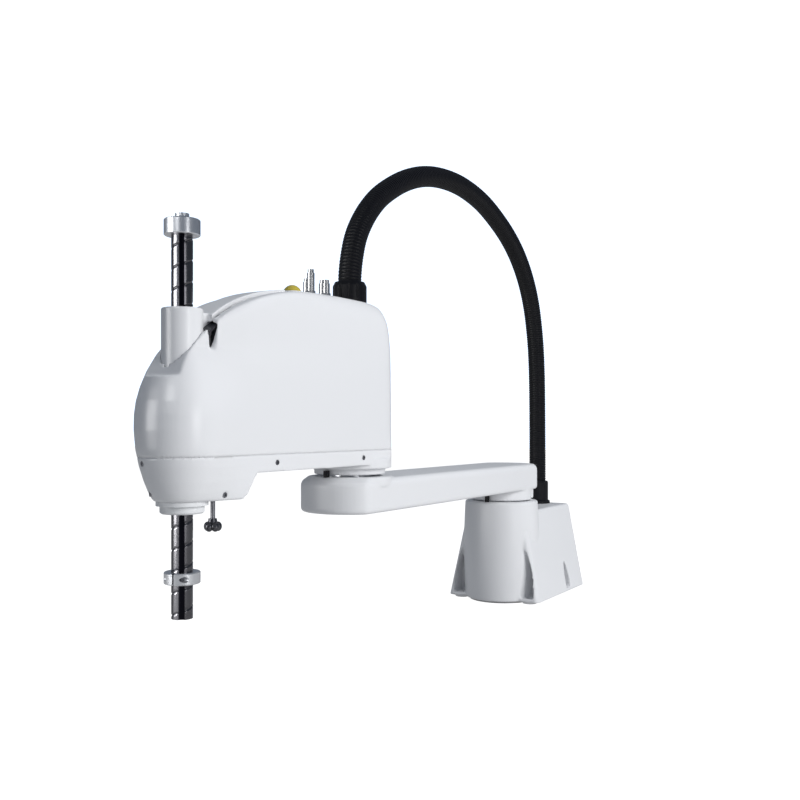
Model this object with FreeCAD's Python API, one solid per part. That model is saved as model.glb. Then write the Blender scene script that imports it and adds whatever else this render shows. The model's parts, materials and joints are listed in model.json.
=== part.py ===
import FreeCAD, Part
import math
import os

# Horizontal-arm assembly robot with four axes and a 700 mm reach.
# Millimetres, +Z up. The origin lies on the shoulder axis, on the floor that
# the base is bolted to. +X points along the stretched arm, +Y to its left.

# Reach and travel
INNER_REACH = 425.0
OUTER_REACH = 275.0
DOWN_TRAVEL = 146.0
SHOULDER_LIMIT = 132.0
ELBOW_LIMIT = 150.0

# Clearances
RUNNING = 0.05
SEAT = 0.1
LOOSE = 0.4
STOP_GAP = 1.5
OVERCUT = 1.0

# Base barrel, and the flared box behind it
BARREL_R = 57.5
BARREL_BULGE = 1.5
BARREL_DRAFT = 1.0
BARREL_RIM_R = 3.0
BARREL_WAIST_Z = 70.0
BASE_TOP = 155.0
BASE_WALL = 7.0
BOX_TOP = 139.0
BOX_REAR = 172.5
BOX_FRONT = 28.0
BOX_HALF = 49.0
BOX_CORNER_R = 10.0
BOX_LEAST_CORNER_R = 3.0
BOX_ROOF_R = 5.0
SKIRT_REAR = 168.0
SKIRT_FRONT = 35.0
SKIRT_HALF = 78.0
SKIRT_LIFT = 3.0
CAVITY_HALF = 40.0
CAVITY_REAR = 157.0

# Feet, and the arched pockets over their bolts
FOOT_R = 11.0
FOOT_LEDGE = 8.0
BOLT_SPACING_X = 120.0
BOLT_SPACING_Y = 116.0
BOLT_FRONT_X = 22.0
BOLT_HOLE_R = 4.5
POCKET_BACK_RUN = 17.0
POCKET_INNER_Y = 47.0
POCKET_WAIST_Y = 62.5
POCKET_WAIST_Z = 55.0
POCKET_OUTER_Y = 67.5
POCKET_TOP = 95.0
REAR_ARCH_HEIGHT = 44.0
ARCH_WIDTH = 18.0
ARCH_LEAN = 1.5
ARCH_BEND_SHARE = 0.55
ARCH_DEPTH_Y = 47.0

# Connector panel in the rear wall
PANEL_THICK = 3.0
PANEL_HALF = 34.0
PANEL_LOW = 16.0
PANEL_HIGH = 122.0
PANEL_SHELF = 4.0
PANEL_FACE_X = -SKIRT_REAR + 5.0
PANEL_SCREW_INSET = 5.0
PANEL_SCREW_R = 2.8
PANEL_SCREW_HEIGHT = 2.0
PLUG_FLANGE_THICK = 3.0
PLUG_FLANGE_CORNER_R = 2.5
PLUG_SHELL_WALL = 2.0
MOTOR_PLUG_Z = 88.0
MOTOR_PLUG_R = 15.0
MOTOR_PLUG_LENGTH = 22.0
SIGNAL_PLUG_Z = 52.0
SIGNAL_PLUG_R = 11.0
SIGNAL_PLUG_LENGTH = 18.0
AIR_PORT_R = 5.0
AIR_PORT_TAIL_R = 3.0
AIR_PORT_BORE_R = 2.0
AIR_PORT_LENGTH = 10.0
AIR_PORT_Y = 22.0
AIR_PORT_HEIGHTS = (34.0, 106.0)

# Shoulder drive
SHOULDER_FRAME = 57.0
SHOULDER_MOTOR_LOW = 14.0
SHOULDER_SHAFT_R = 7.0
REDUCER_R = 42.0
REDUCER_LOW = 98.0
REDUCER_FLOOR = 22.0
OUTPUT_R = 31.0
OUTPUT_BORE_R = 8.0

# Inner arm
ARM_HALF_WIDTH = 48.0
ARM_HUB_INSET = 10.5
ARM_END_R = 57.8
ARM_HUB_R = BARREL_R - ARM_HUB_INSET
ARM_HUB_BOTTOM = BASE_TOP + 1.0
ARM_BOTTOM = 172.0
ARM_TOP = 212.0
ARM_EDGE_R = 9.0
ARM_LOWER_EDGE_R = 4.5
ARM_CORNER_R = 14.0
ELBOW_PAD_R = 50.0
ELBOW_PAD_TOP = ARM_TOP + 2.0

# Elbow drive
ELBOW_FRAME = 60.0
ELBOW_MOTOR_LENGTH = 105.0
ELBOW_SHAFT_R = 6.0
ELBOW_REDUCER_R = 36.0
ELBOW_REDUCER_LOW = 182.0
ELBOW_REDUCER_FLOOR = 6.0
ELBOW_OUTPUT_R = 26.0

# Stops at the ends of both arms' travel
STOP_PIN_R = 3.5
STOP_LUG_ANGLE = 10.0
STOP_LUG_ROOT = 3.0
SHOULDER_PIN_GAP = 5.0
ELBOW_PIN_GAP = 1.5

# Outer arm housing
NECK_R = 42.0
NECK_BOTTOM = ELBOW_PAD_TOP + 2.0
BOSS_R = 49.5
BOSS_BOTTOM = NECK_BOTTOM + 7.0
PAN_BOTTOM = 228.0
PAN_FLOOR = 7.0
PAN_WALL = 6.0
COVER_WALL = 4.0
COVER_SEAM = 0.25
NOSE_BOTTOM = 203.5
SPLIT_Z = 245.0
HOUSING_TOP = 415.0
HOUSING_REAR_R = 49.5
HOUSING_HALF_REAR = 46.0
HOUSING_HALF_MID = 41.0
HOUSING_SHOULDER = 52.0
HOUSING_MARGIN = 60.0
NOSE_R = 43.5
NOSE_SLOPE = 0.32
NOSE_STEP_RUN = 47.0
NOSE_STEP_BEVEL = 5.0
NOSE_STEP_SLANT = 8.0

# Tower and spine
TOWER_R = 19.2
TOWER_BORE_R = 17.4
TOWER_TOP = 383.0
TOWER_BOTTOM = 326.0
TOWER_RIM_R = 2.0
SADDLE_DROP = 3.0
SADDLE_LOW = 350.0
SADDLE_HALF = 8.0
STRIP_END_SHARE = 1.25
SADDLE_REAR_SHARE = 1.6
SADDLE_FRONT_SHARE = 0.4
SPINE_HALF = 15.0
SPINE_RISE = 3.0
SPINE_RUN = 140.0
SPINE_SLOT_GAP = 5.0
SLOT_FLARE = 1.5
SLOT_MIDDLE_SHARE = 2.0
SLOT_WIDE_SHARE = 0.7
SLOT_END_SHARE = 0.2
SLOT_END_HALF = 0.9 * TOWER_R

# Spindle: hollow shaft, its two stop collars, end plug and seal
SPINDLE_R = 10.0
SPINDLE_BORE_R = 7.0
SPINDLE_TIP = 94.5
SPINDLE_LENGTH = 370.0
TOOL_END_R = 9.5
TOOL_END_LENGTH = 30.0
FLUTE_R = 2.0
FLUTE_OFFSET = 0.4
FLUTE_COUNT = 3
FLUTE_ANGLE = 41.3
COLLAR_R = 16.8
COLLAR_BEVEL = 0.8
COLLAR_SLIT = 1.6
LOWER_COLLAR_Z = 127.0
LOWER_COLLAR_HEIGHT = 11.0
LOWER_SLIT_ANGLE = 15.0
UPPER_COLLAR_DROP = 14.5
UPPER_COLLAR_HEIGHT = 15.0
UPPER_SLIT_ANGLE = 200.0
CLAMP_SCREW_R = 1.6
CLAMP_SCREW_HEAD_R = 2.6
CLAMP_SCREW_INSET = 3.6
CLAMP_SCREW_HEAD_HEIGHT = 1.8
CLAMP_SCREW_SEAT = 4.0
CLAMP_SCREW_SOCKET_R = 1.2
END_PLUG_R = 6.5
END_PLUG_BORE_R = 4.0
END_PLUG_DEPTH = 12.0
END_PLUG_HEIGHT = 6.0
END_PLUG_RIM = 1.5
SEAL_R = 20.5
SEAL_FLANGE_R = 24.0
SEAL_FLANGE_THICK = 4.0
SEAL_BEVEL = 1.5
SEAL_BOTTOM = 192.0

# Spindle drives: nuts, bearings, pulleys, belts and the motors' bracket
NUT_R = 21.0
SCREW_NUT_R = 19.0
SCREW_NUT_Z = 271.0
SPLINE_NUT_TOP = 240.0
PULLEY_HUB_R = 18.0
PULLEY_R = 24.0
MOTOR_PULLEY_R = 12.0
TOOTH_PITCH = 6.0
TOOTH_R = 1.2
BELT_WIDTH = 11.0
BELT_THICK = 1.6
SPLINE_BELT_Z = 242.0
SCREW_BELT_Z = 258.0
LOWER_SLEEVE_WALL = 2.4
LOWER_FLANGE_R = 27.0
UPPER_SLEEVE_R = 23.0
UPPER_FLANGE_R = 28.0
BEARING_FLANGE_THICK = 4.0
LOWER_FLANGE_DROP = 15.0
BRACKET_Z = 273.0
BRACKET_THICK = 5.0
BRACKET_HALF = 32.0
BRACKET_LEG = 4.0
BRACKET_LEG_RUN = 12.0
BRACKET_FRONT_RUN = 60.0
DRIVE_SHAFT_R = 4.0
SPIN_MOTOR_RUN = 90.0
SPIN_MOTOR_FRAME = 42.0
SPIN_MOTOR_LENGTH = 78.0
LIFT_MOTOR_RUN = 170.0
LIFT_MOTOR_FRAME = 54.0
LIFT_MOTOR_LENGTH = 96.0
MOTOR_CORNER_SHARE = 0.12
MOTOR_PILOT_SHARE = 0.42
MOTOR_PILOT_HEIGHT = 2.0
ENCODER_CAP_HEIGHT = 8.0

# Knob under the nose
STUD_R = 2.3
STUD_HEAD_R = 4.3
STUD_HEAD_HEIGHT = 2.5
KNOB_RUN = 41.0
KNOB_LOW = 171.0
KNOB_HEIGHT = 10.5
KNOB_SOCKET = 4.2
KNOB_R = 9.2
KNOB_LOBES = 5
KNOB_NOTCH_R = 3.2
KNOB_NOTCH_OFFSET = 1.2
KNOB_HUB_R = 4.8
KNOB_HUB_HEIGHT = 2.0

# Cable conduit and its glands
CONDUIT_R = 14.0
CONDUIT_BEND_SHARE = 0.45
GLAND_GRIP = 2.0
ARM_GLAND_TOP = 443.0
ARM_GLAND_R = 20.2
ARM_GLAND_BEVEL = 2.5
ARM_GLAND_NOTCHES = 12
ARM_GLAND_NOTCH_R = 1.8
ARM_GLAND_NOTCH_LIFT = 6.0
BASE_GLAND_TOP = 177.0
BASE_GLAND_X = -147.0
BASE_GLAND_FOOT_R = 21.0
BASE_GLAND_FOOT_HEIGHT = 4.0
BASE_GLAND_NECK_R = 18.0
BASE_GLAND_TOP_R = 17.0

# Status lamp and air fittings on the roof
LAMP_RUN = 110.0
LAMP_R = 10.0
LAMP_HEIGHT = 7.5
LAMP_FOOT = 2.5
LAMP_FOOT_R = 11.5
FITTING_HEX_HEIGHT = 6.0
FITTING_HEX_SHARE = 1.25
FITTING_RING_HEIGHT = 4.0
FITTING_RING_SHARE = 0.8
FITTING_BORE_SHARE = 0.45

# Screws that hold the cover to the pan
COVER_SCREW_R = 2.6
COVER_SCREW_SOCKET_R = 1.3
COVER_SCREW_SINK = 1.6
COVER_SCREW_SOCKET_DEPTH = 0.6
COVER_SCREW_GAP = 0.4
REAR_SCREW_RUN = 37.0
MIDDLE_SCREW_RUN = 186.5
UPPER_SCREW_Z = 237.0
NOSE_SCREW_RUN = 254.0
NOSE_SCREW_Z = 209.0

ELBOW_X = INNER_REACH
SPINDLE_X = INNER_REACH + OUTER_REACH
KNOB_X = SPINDLE_X - KNOB_RUN
HOUSING_REAR_X = ELBOW_X - HOUSING_REAR_R
SPINE_REAR_X = ELBOW_X + SPINE_RUN
PAN_FLOOR_TOP = PAN_BOTTOM + PAN_FLOOR
NOSE_FLOOR_TOP = NOSE_BOTTOM + PAN_FLOOR
NOSE_STEP_X = SPINDLE_X - NOSE_STEP_RUN
SHAFT_TOP = SPINDLE_TIP + SPINDLE_LENGTH
UPPER_COLLAR_Z = SHAFT_TOP - UPPER_COLLAR_DROP
SCREW_NUT_TOP = UPPER_COLLAR_Z - DOWN_TRAVEL - STOP_GAP
SPIN_MOTOR_X = SPINDLE_X - SPIN_MOTOR_RUN
LIFT_MOTOR_X = SPINDLE_X - LIFT_MOTOR_RUN
LAMP_X = ELBOW_X + LAMP_RUN
MOTOR_SEAT_Z = BRACKET_Z + BRACKET_THICK
BRACKET_REAR_X = LIFT_MOTOR_X - BRACKET_HALF
CONDUIT_BORE_R = CONDUIT_R - GLAND_GRIP
SHOULDER_STOP_AT = ARM_HUB_R + STOP_PIN_R + STOP_GAP
ELBOW_STOP_AT = NECK_R + STOP_PIN_R + STOP_GAP

# Nose radius by height: share of the housing's height, share of the nose radius
NOSE_PROFILE = [
    (0.0, 0.575), (0.012, 0.632), (0.040, 0.701), (0.0875, 0.793), (0.154, 0.892),
    (0.229, 0.966), (0.314, 1.0), (0.381, 0.993), (0.437, 0.956), (0.499, 0.874),
    (0.565, 0.747), (0.6265, 0.598), (0.674, 0.483), (1.07, 0.474),
]
# Draw-in of the rear end and of the sides below the roof: distance under it, share left
REAR_DRAW = [(-110.0, 1.0), (-60.0, 0.985), (-38.0, 0.955), (-26.0, 0.925),
             (-17.0, 0.88), (-9.0, 0.8), (-3.0, 0.7), (3.0, 0.58)]
SIDE_DRAW = [(-40.0, 1.0), (-26.0, 0.985), (-17.0, 0.96), (-9.0, 0.91), (-3.0, 0.84), (3.0, 0.72)]
# Top line of the housing: distance from its rear end, or from the spindle, and height against the roof
CROWN_REAR = [(-10.0, -26.0), (8.0, -12.0), (34.0, -1.5), (75.0, 2.0), (140.0, 1.0)]
CROWN_FRONT = [(-134.5, -2.0), (-87.5, -11.0), (-57.5, -21.0), (-27.5, -37.0),
               (-4.5, -56.0), (13.5, -76.0), (25.5, -96.0)]
# Middle of the conduit's route: share of the way back to the base gland, height over the arm gland
CONDUIT_SHAPE = [
    (0.0219, 76.0), (0.0624, 109.9), (0.1206, 136.8), (0.1941, 157.0), (0.2815, 170.0), (0.3811, 177.5),
    (0.4860, 179.0), (0.5892, 174.0), (0.6871, 160.5), (0.7780, 138.5), (0.8584, 107.0), (0.9231, 66.0),
    (0.9659, 15.0), (0.9886, -41.0), (0.9974, -98.0), (0.9997, -154.0),
]
CONDUIT_RISE = 38.0
CONDUIT_TAIL = 56.0
# Air fittings: distance in front of the elbow axis, place across the arm, height, radius
FITTINGS = [(82.0, 4.0, 30.0, 4.2), (72.0, -9.0, 22.0, 4.2), (56.0, 6.0, 21.0, 4.2), (40.0, -10.0, 24.0, 4.8)]
# Screws round the front of the nose: direction from the spindle in degrees, height
NOSE_SCREWS = [(-20.0, 239.0), (-30.0, 211.0)]


def vec(x, y, z):
    return FreeCAD.Vector(x, y, z)


def cylinder(radius, low, high, x=0.0, y=0.0):
    return Part.makeCylinder(radius, high - low, vec(x, y, low))


def ring(outer, inner, low, high, x=0.0, y=0.0):
    return cylinder(outer, low, high, x, y).cut(cylinder(inner, low, high, x, y))


def block(x0, x1, y0, y1, z0, z1):
    return Part.makeBox(x1 - x0, y1 - y0, z1 - z0, vec(x0, y0, z0))


def fused(shapes):
    body = shapes[0]
    for shape in shapes[1:]:
        body = body.fuse(shape)
    return body.removeSplitter()


def write(name, shape):
    shape.exportStep("parts/" + name + ".step")


def line(a, b):
    return Part.LineSegment(vec(*a), vec(*b)).toShape()


def arc(a, middle, b):
    return Part.Arc(vec(*a), vec(*middle), vec(*b)).toShape()


def polygon(points):
    corners = [vec(*p) for p in points]
    return Part.Face(Part.makePolygon(corners + corners[:1]))


def revolved(profile, x=0.0, y=0.0):
    """Turn a closed (radius, z) outline about a vertical axis."""
    face = polygon([(x + r, y, z) for r, z in profile])
    return face.revolve(vec(x, y, 0), vec(0, 0, 1), 360)


def vertical_edges(shape, low, high):
    """Straight edges that stand upright between two heights."""
    found = []
    for edge in shape.Edges:
        a, b = edge.Vertexes[0].Point, edge.Vertexes[-1].Point
        upright = abs(a.x - b.x) + abs(a.y - b.y) < 0.01 and abs(a.z - b.z) > 1.0
        if upright and low - 0.01 <= min(a.z, b.z) and max(a.z, b.z) <= high + 0.01:
            found.append(edge)
    return found


def level_edges(shape, z):
    """Edges that lie flat at one height."""
    found = []
    for edge in shape.Edges:
        box = edge.BoundBox
        if abs(box.ZMin - z) < 0.01 and abs(box.ZMax - z) < 0.01:
            found.append(edge)
    return found


# Base


def base_outline(z, rear, front, half, corner):
    """Rounded rectangle behind the barrel."""
    x0, x1 = -rear, front
    c = corner
    k = corner * (1 - math.sqrt(0.5))
    edges = []
    for (cx, cy, sx, sy) in ((x0, -half, 1, 1), (x1, -half, -1, 1), (x1, half, -1, -1), (x0, half, 1, -1)):
        ends = [(cx, cy + sy * c, z), (cx + sx * c, cy, z)]
        if sx * sy < 0:
            ends.reverse()
        edges.append((ends[0], (cx + sx * k, cy + sy * k, z), ends[1]))
    wire = []
    for i, (a, m, b) in enumerate(edges):
        wire.append(arc(a, m, b))
        wire.append(line(b, edges[(i + 1) % 4][0]))
    return Part.Wire(wire)


def base_box(shrink, low, high):
    """Flared box behind the barrel, drawn smaller all round by one wall."""
    def at(z):
        t = z / BOX_TOP
        rear = SKIRT_REAR + (BOX_REAR - SKIRT_REAR) * t - shrink
        front = SKIRT_FRONT + (BOX_FRONT - SKIRT_FRONT) * t - shrink
        half = SKIRT_HALF + (BOX_HALF - SKIRT_HALF) * t - shrink
        return base_outline(z, rear, front, half, max(BOX_LEAST_CORNER_R, BOX_CORNER_R - shrink))
    return Part.makeLoft([at(low), at(high)], True, True)


def foot_places():
    rear_x = BOLT_FRONT_X - BOLT_SPACING_X
    half_y = BOLT_SPACING_Y / 2
    return [(x, y) for x in (BOLT_FRONT_X, rear_x) for y in (half_y, -half_y)]


def front_pocket(side):
    """Half arch beside the barrel, cut into the flank from the front, over a front foot."""
    x = BOLT_FRONT_X - POCKET_BACK_RUN
    foot = (x, side * POCKET_OUTER_Y, FOOT_LEDGE)
    waist = (x, side * POCKET_WAIST_Y, POCKET_WAIST_Z)
    apex = (x, side * POCKET_INNER_Y, POCKET_TOP)
    corner = (x, side * POCKET_INNER_Y, FOOT_LEDGE)
    face = Part.Face(Part.Wire([arc(foot, waist, apex), line(apex, corner), line(corner, foot)]))
    return face.extrude(vec(SKIRT_FRONT - x + OVERCUT, 0, 0))


def rear_pocket(x, side, height):
    """Pointed arch cut into the skirt's side over a rear foot."""
    w = ARCH_WIDTH / 2
    y = side * ARCH_DEPTH_Y
    z = FOOT_LEDGE
    lean = ARCH_LEAN
    bend = z + ARCH_BEND_SHARE * height
    left = arc((x - w, y, z), (x - w + lean, y, bend), (x, y, z + height))
    right = arc((x, y, z + height), (x + w - lean, y, bend), (x + w, y, z))
    face = Part.Face(Part.Wire([left, right, line((x + w, y, z), (x - w, y, z))]))
    return face.extrude(vec(0, side * SKIRT_HALF, 0))


def base_casting():
    foot = (BARREL_R - BARREL_DRAFT, 0, SKIRT_LIFT)
    shoulder = (BARREL_R - BARREL_DRAFT / 2, 0, BASE_TOP - BARREL_RIM_R)
    edge = (shoulder[0] - BARREL_RIM_R, 0, BASE_TOP)
    bevel = BARREL_RIM_R * (1 - math.sqrt(0.5))
    wall = arc(foot, (BARREL_R + BARREL_BULGE, 0, BARREL_WAIST_Z), shoulder)
    rim = arc(shoulder, (shoulder[0] - bevel, 0, BASE_TOP - bevel), edge)
    roof = line(edge, (0, 0, BASE_TOP))
    axis = line((0, 0, BASE_TOP), (0, 0, SKIRT_LIFT))
    floor = line((0, 0, SKIRT_LIFT), foot)
    barrel = Part.Face(Part.Wire([wall, rim, roof, axis, floor])).revolve(vec(0, 0, 0), vec(0, 0, 1), 360)
    box = base_box(0.0, SKIRT_LIFT, BOX_TOP)
    box = box.makeFillet(BOX_ROOF_R, level_edges(box, BOX_TOP))
    for x, y in foot_places():
        side = math.copysign(1, y)
        box = box.cut(front_pocket(side) if x == BOLT_FRONT_X else rear_pocket(x, side, REAR_ARCH_HEIGHT))
    body = barrel.fuse(box)
    for x, y in foot_places():
        body = body.fuse(cylinder(FOOT_R, 0, FOOT_LEDGE, x, y))
    cavity = base_box(BASE_WALL, SKIRT_LIFT, BOX_TOP - BASE_WALL)
    cavity = cavity.common(block(-CAVITY_REAR, -REDUCER_R - BASE_WALL, -CAVITY_HALF, CAVITY_HALF,
                                 SKIRT_LIFT, BOX_TOP - BASE_WALL))
    body = body.cut(cavity)
    body = body.cut(cylinder(REDUCER_R + SEAT, SKIRT_LIFT, BASE_TOP))
    body = body.cut(panel_opening())
    body = body.cut(cylinder(CONDUIT_BORE_R, BOX_TOP - BASE_WALL - OVERCUT, BOX_TOP + OVERCUT, BASE_GLAND_X))
    for x, y in foot_places():
        body = body.cut(cylinder(BOLT_HOLE_R, -OVERCUT, FOOT_LEDGE + OVERCUT, x, y))
    return body.removeSplitter()


def panel_opening():
    """Window in the rear wall, with a shelf that the panel lies against."""
    outside = -BOX_REAR - OVERCUT
    inset = PANEL_SHELF
    hole = block(outside, -CAVITY_REAR + OVERCUT, -PANEL_HALF + inset, PANEL_HALF - inset,
                 PANEL_LOW + inset, PANEL_HIGH - inset)
    recess = block(outside, PANEL_FACE_X + PANEL_THICK, -PANEL_HALF, PANEL_HALF, PANEL_LOW, PANEL_HIGH)
    return hole.fuse(recess)


def connector_places():
    return [("motor_connector", MOTOR_PLUG_Z, MOTOR_PLUG_R, MOTOR_PLUG_LENGTH),
            ("signal_connector", SIGNAL_PLUG_Z, SIGNAL_PLUG_R, SIGNAL_PLUG_LENGTH)]


def connector_panel():
    gap = LOOSE
    front, back = PANEL_FACE_X, PANEL_FACE_X + PANEL_THICK - SEAT
    panel = block(front, back, -PANEL_HALF + gap, PANEL_HALF - gap, PANEL_LOW + gap, PANEL_HIGH - gap)
    for name, z, radius, length in connector_places():
        panel = panel.cut(across(plug_tail_radius(radius) + LOOSE, front - OVERCUT, back + OVERCUT, 0.0, z))
    for y, z in air_places():
        panel = panel.cut(across(AIR_PORT_TAIL_R + SEAT, front - OVERCUT, back + OVERCUT, y, z))
    return panel


def plug_tail_radius(radius):
    return radius - 2 * PLUG_SHELL_WALL


def across(radius, x0, x1, y, z):
    """Cylinder that lies along X."""
    return Part.makeCylinder(radius, x1 - x0, vec(x0, y, z), vec(1, 0, 0))


def round_connector(z, radius, length):
    """Flanged round socket on the panel, with its pins' insert set back."""
    wall, thick = PLUG_SHELL_WALL, PLUG_FLANGE_THICK
    face = PANEL_FACE_X - SEAT
    mouth = face - length
    floor = face - 2 * thick
    flange = block(face - thick, face, -radius, radius, z - radius, z + radius)
    upright = [e for e in flange.Edges if abs(e.Length - thick) < 0.01]
    flange = flange.makeFillet(PLUG_FLANGE_CORNER_R, upright)
    shell = across(radius - wall, mouth, face - thick, 0.0, z)
    shell = shell.cut(across(radius - 2 * wall, mouth - OVERCUT, floor, 0.0, z))
    insert = across(radius - 3 * wall, mouth + 2 * wall, floor, 0.0, z)
    tail = across(plug_tail_radius(radius), face, face + length, 0.0, z)
    return fused([flange, shell, insert, tail])


def air_places():
    return [(y, z) for y in (-AIR_PORT_Y, AIR_PORT_Y) for z in AIR_PORT_HEIGHTS]


def base_air_ports():
    """Push-in tube ports at the panel's corners."""
    ports = []
    face = PANEL_FACE_X - SEAT
    mouth, tail = face - AIR_PORT_LENGTH, face + AIR_PORT_LENGTH
    for y, z in air_places():
        body = across(AIR_PORT_R, mouth, face, y, z).fuse(across(AIR_PORT_TAIL_R, face, tail, y, z))
        body = body.cut(across(AIR_PORT_BORE_R, mouth - OVERCUT, tail + OVERCUT, y, z))
        ports.append(body.removeSplitter())
    return Part.makeCompound(ports)


def panel_screws():
    screws = []
    inset = PANEL_SCREW_INSET
    face = PANEL_FACE_X - SEAT
    top = face - PANEL_SCREW_HEIGHT
    for y in (-PANEL_HALF + inset, PANEL_HALF - inset):
        for z in (PANEL_LOW + inset, PANEL_HIGH - inset, (PANEL_LOW + PANEL_HIGH) / 2):
            head = across(PANEL_SCREW_R, top, face, y, z)
            socket = across(PANEL_SCREW_R / 2, top - OVERCUT, top + PANEL_SCREW_HEIGHT / 2, y, z)
            screws.append(head.cut(socket))
    return Part.makeCompound(screws)


def base_floor_plate():
    """Plate that closes the barrel and the cable space and lies on the floor."""
    high = SKIRT_LIFT - SEAT
    plate = cylinder(BARREL_R - BASE_WALL, 0, high)
    plate = plate.fuse(block(-CAVITY_REAR, 0, -ARCH_DEPTH_Y, ARCH_DEPTH_Y, 0, high))
    for x, y in foot_places():
        plate = plate.cut(cylinder(FOOT_R + LOOSE, -OVERCUT, high + OVERCUT, x, y))
    return plate.removeSplitter()


def servo_motor(x, y, low, high, frame, shaft_r, shaft_end):
    """Square-framed servo motor with rounded corners, rear encoder cap and shaft."""
    upward = shaft_end > high
    half = frame / 2
    body = block(x - half, x + half, y - half, y + half, low, high)
    body = body.makeFillet(frame * MOTOR_CORNER_SHARE, vertical_edges(body, low, high))
    cap_r = pilot_radius(frame)
    if upward:
        cap = cylinder(cap_r, low - ENCODER_CAP_HEIGHT, low, x, y)
        shaft = cylinder(shaft_r, high, shaft_end, x, y)
        pilot = cylinder(cap_r, high, high + MOTOR_PILOT_HEIGHT, x, y)
    else:
        cap = cylinder(cap_r, high, high + ENCODER_CAP_HEIGHT, x, y)
        shaft = cylinder(shaft_r, shaft_end, low, x, y)
        pilot = cylinder(cap_r, low - MOTOR_PILOT_HEIGHT, low, x, y)
    return fused([body, cap, pilot, shaft])


def pilot_radius(frame):
    return frame * MOTOR_PILOT_SHARE


def shoulder_motor():
    return servo_motor(0, 0, SHOULDER_MOTOR_LOW, REDUCER_LOW - MOTOR_PILOT_HEIGHT - SEAT, SHOULDER_FRAME,
                       SHOULDER_SHAFT_R, REDUCER_LOW + REDUCER_FLOOR - OVERCUT)


def shoulder_reducer():
    """Gear unit case: closed below, open above round the turning flange."""
    floor = REDUCER_LOW + REDUCER_FLOOR
    case = ring(REDUCER_R, OUTPUT_R + RUNNING, floor, BASE_TOP)
    case = case.fuse(ring(REDUCER_R, SHOULDER_SHAFT_R + LOOSE, REDUCER_LOW, floor))
    return case.removeSplitter()


def shoulder_output():
    """Turning flange of the shoulder gear unit, bolted up under the arm."""
    return ring(OUTPUT_R, OUTPUT_BORE_R, REDUCER_LOW + REDUCER_FLOOR + LOOSE, ARM_HUB_BOTTOM)


def shoulder_stop_pin():
    return cylinder(STOP_PIN_R, BASE_TOP, ARM_BOTTOM - SHOULDER_PIN_GAP, SHOULDER_STOP_AT)


def elbow_stop_pin():
    return cylinder(STOP_PIN_R, ELBOW_PAD_TOP, BOSS_BOTTOM - ELBOW_PIN_GAP, ELBOW_X + ELBOW_STOP_AT)


def stop_lug(x, hub_r, reach, angle, low, high):
    """Lug on a turning hub that meets the stop pin at the end of the travel."""
    lug = block(hub_r - STOP_LUG_ROOT, reach, -STOP_PIN_R, STOP_PIN_R, low, high)
    lug.rotate(vec(0, 0, 0), vec(0, 0, 1), angle)
    lug.translate(vec(x, 0, 0))
    return lug


def base_conduit_gland():
    """Tapered rubber boot with grip rings, where the conduit enters the base."""
    foot_top = BOX_TOP + BASE_GLAND_FOOT_HEIGHT
    waist = BASE_GLAND_NECK_R
    profile = [(CONDUIT_BORE_R, BOX_TOP), (BASE_GLAND_FOOT_R, BOX_TOP), (BASE_GLAND_FOOT_R, foot_top),
               (waist, foot_top + BASE_GLAND_FOOT_HEIGHT / 2), (waist, BASE_GLAND_TOP - ARM_GLAND_BEVEL),
               (BASE_GLAND_TOP_R, BASE_GLAND_TOP), (CONDUIT_BORE_R, BASE_GLAND_TOP)]
    return revolved(profile, BASE_GLAND_X)


# Inner arm


def arm_outline(z, x_end):
    """Round-ended arm outline with flat sides between the two joint axes."""
    run = math.sqrt(ARM_END_R ** 2 - ARM_HALF_WIDTH ** 2)
    w = ARM_HALF_WIDTH
    edges = [
        arc((-run, w, z), (-ARM_END_R, 0, z), (-run, -w, z)),
        line((-run, -w, z), (x_end + run, -w, z)),
        arc((x_end + run, -w, z), (x_end + ARM_END_R, 0, z), (x_end + run, w, z)),
        line((x_end + run, w, z), (-run, w, z)),
    ]
    return Part.Face(Part.Wire(edges))


def inner_arm_casting():
    arm = arm_outline(ARM_BOTTOM, ELBOW_X).extrude(vec(0, 0, ARM_TOP - ARM_BOTTOM))
    arm = arm.makeFillet(ARM_CORNER_R, vertical_edges(arm, ARM_BOTTOM, ARM_TOP))
    arm = arm.makeFillet(ARM_EDGE_R, level_edges(arm, ARM_TOP))
    arm = arm.makeFillet(ARM_LOWER_EDGE_R, level_edges(arm, ARM_BOTTOM))
    arm = arm.fuse(cylinder(ARM_HUB_R, ARM_HUB_BOTTOM, ARM_BOTTOM + OVERCUT))
    arm = arm.fuse(cylinder(ELBOW_PAD_R, ARM_TOP - ARM_EDGE_R, ELBOW_PAD_TOP, ELBOW_X))
    for side in (1, -1):
        angle = side * (SHOULDER_LIMIT + STOP_LUG_ANGLE)
        arm = arm.fuse(stop_lug(0, ARM_HUB_R, SHOULDER_STOP_AT + STOP_PIN_R, angle,
                                ARM_HUB_BOTTOM, ARM_BOTTOM + OVERCUT))
    arm = arm.cut(cylinder(ELBOW_REDUCER_R + SEAT, ELBOW_REDUCER_LOW, ELBOW_PAD_TOP + OVERCUT, ELBOW_X))
    return arm.removeSplitter()


def elbow_reducer():
    """Gear unit case let into the arm, open above round the turning flange."""
    case = cylinder(ELBOW_REDUCER_R, ELBOW_REDUCER_LOW, ELBOW_PAD_TOP, ELBOW_X)
    floor = ELBOW_REDUCER_LOW + ELBOW_REDUCER_FLOOR
    return case.cut(cylinder(ELBOW_OUTPUT_R + RUNNING, floor, ELBOW_PAD_TOP, ELBOW_X))


def elbow_output():
    low = ELBOW_REDUCER_LOW + ELBOW_REDUCER_FLOOR + LOOSE
    return ring(ELBOW_OUTPUT_R, OUTPUT_BORE_R, low, NECK_BOTTOM, ELBOW_X)


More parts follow.
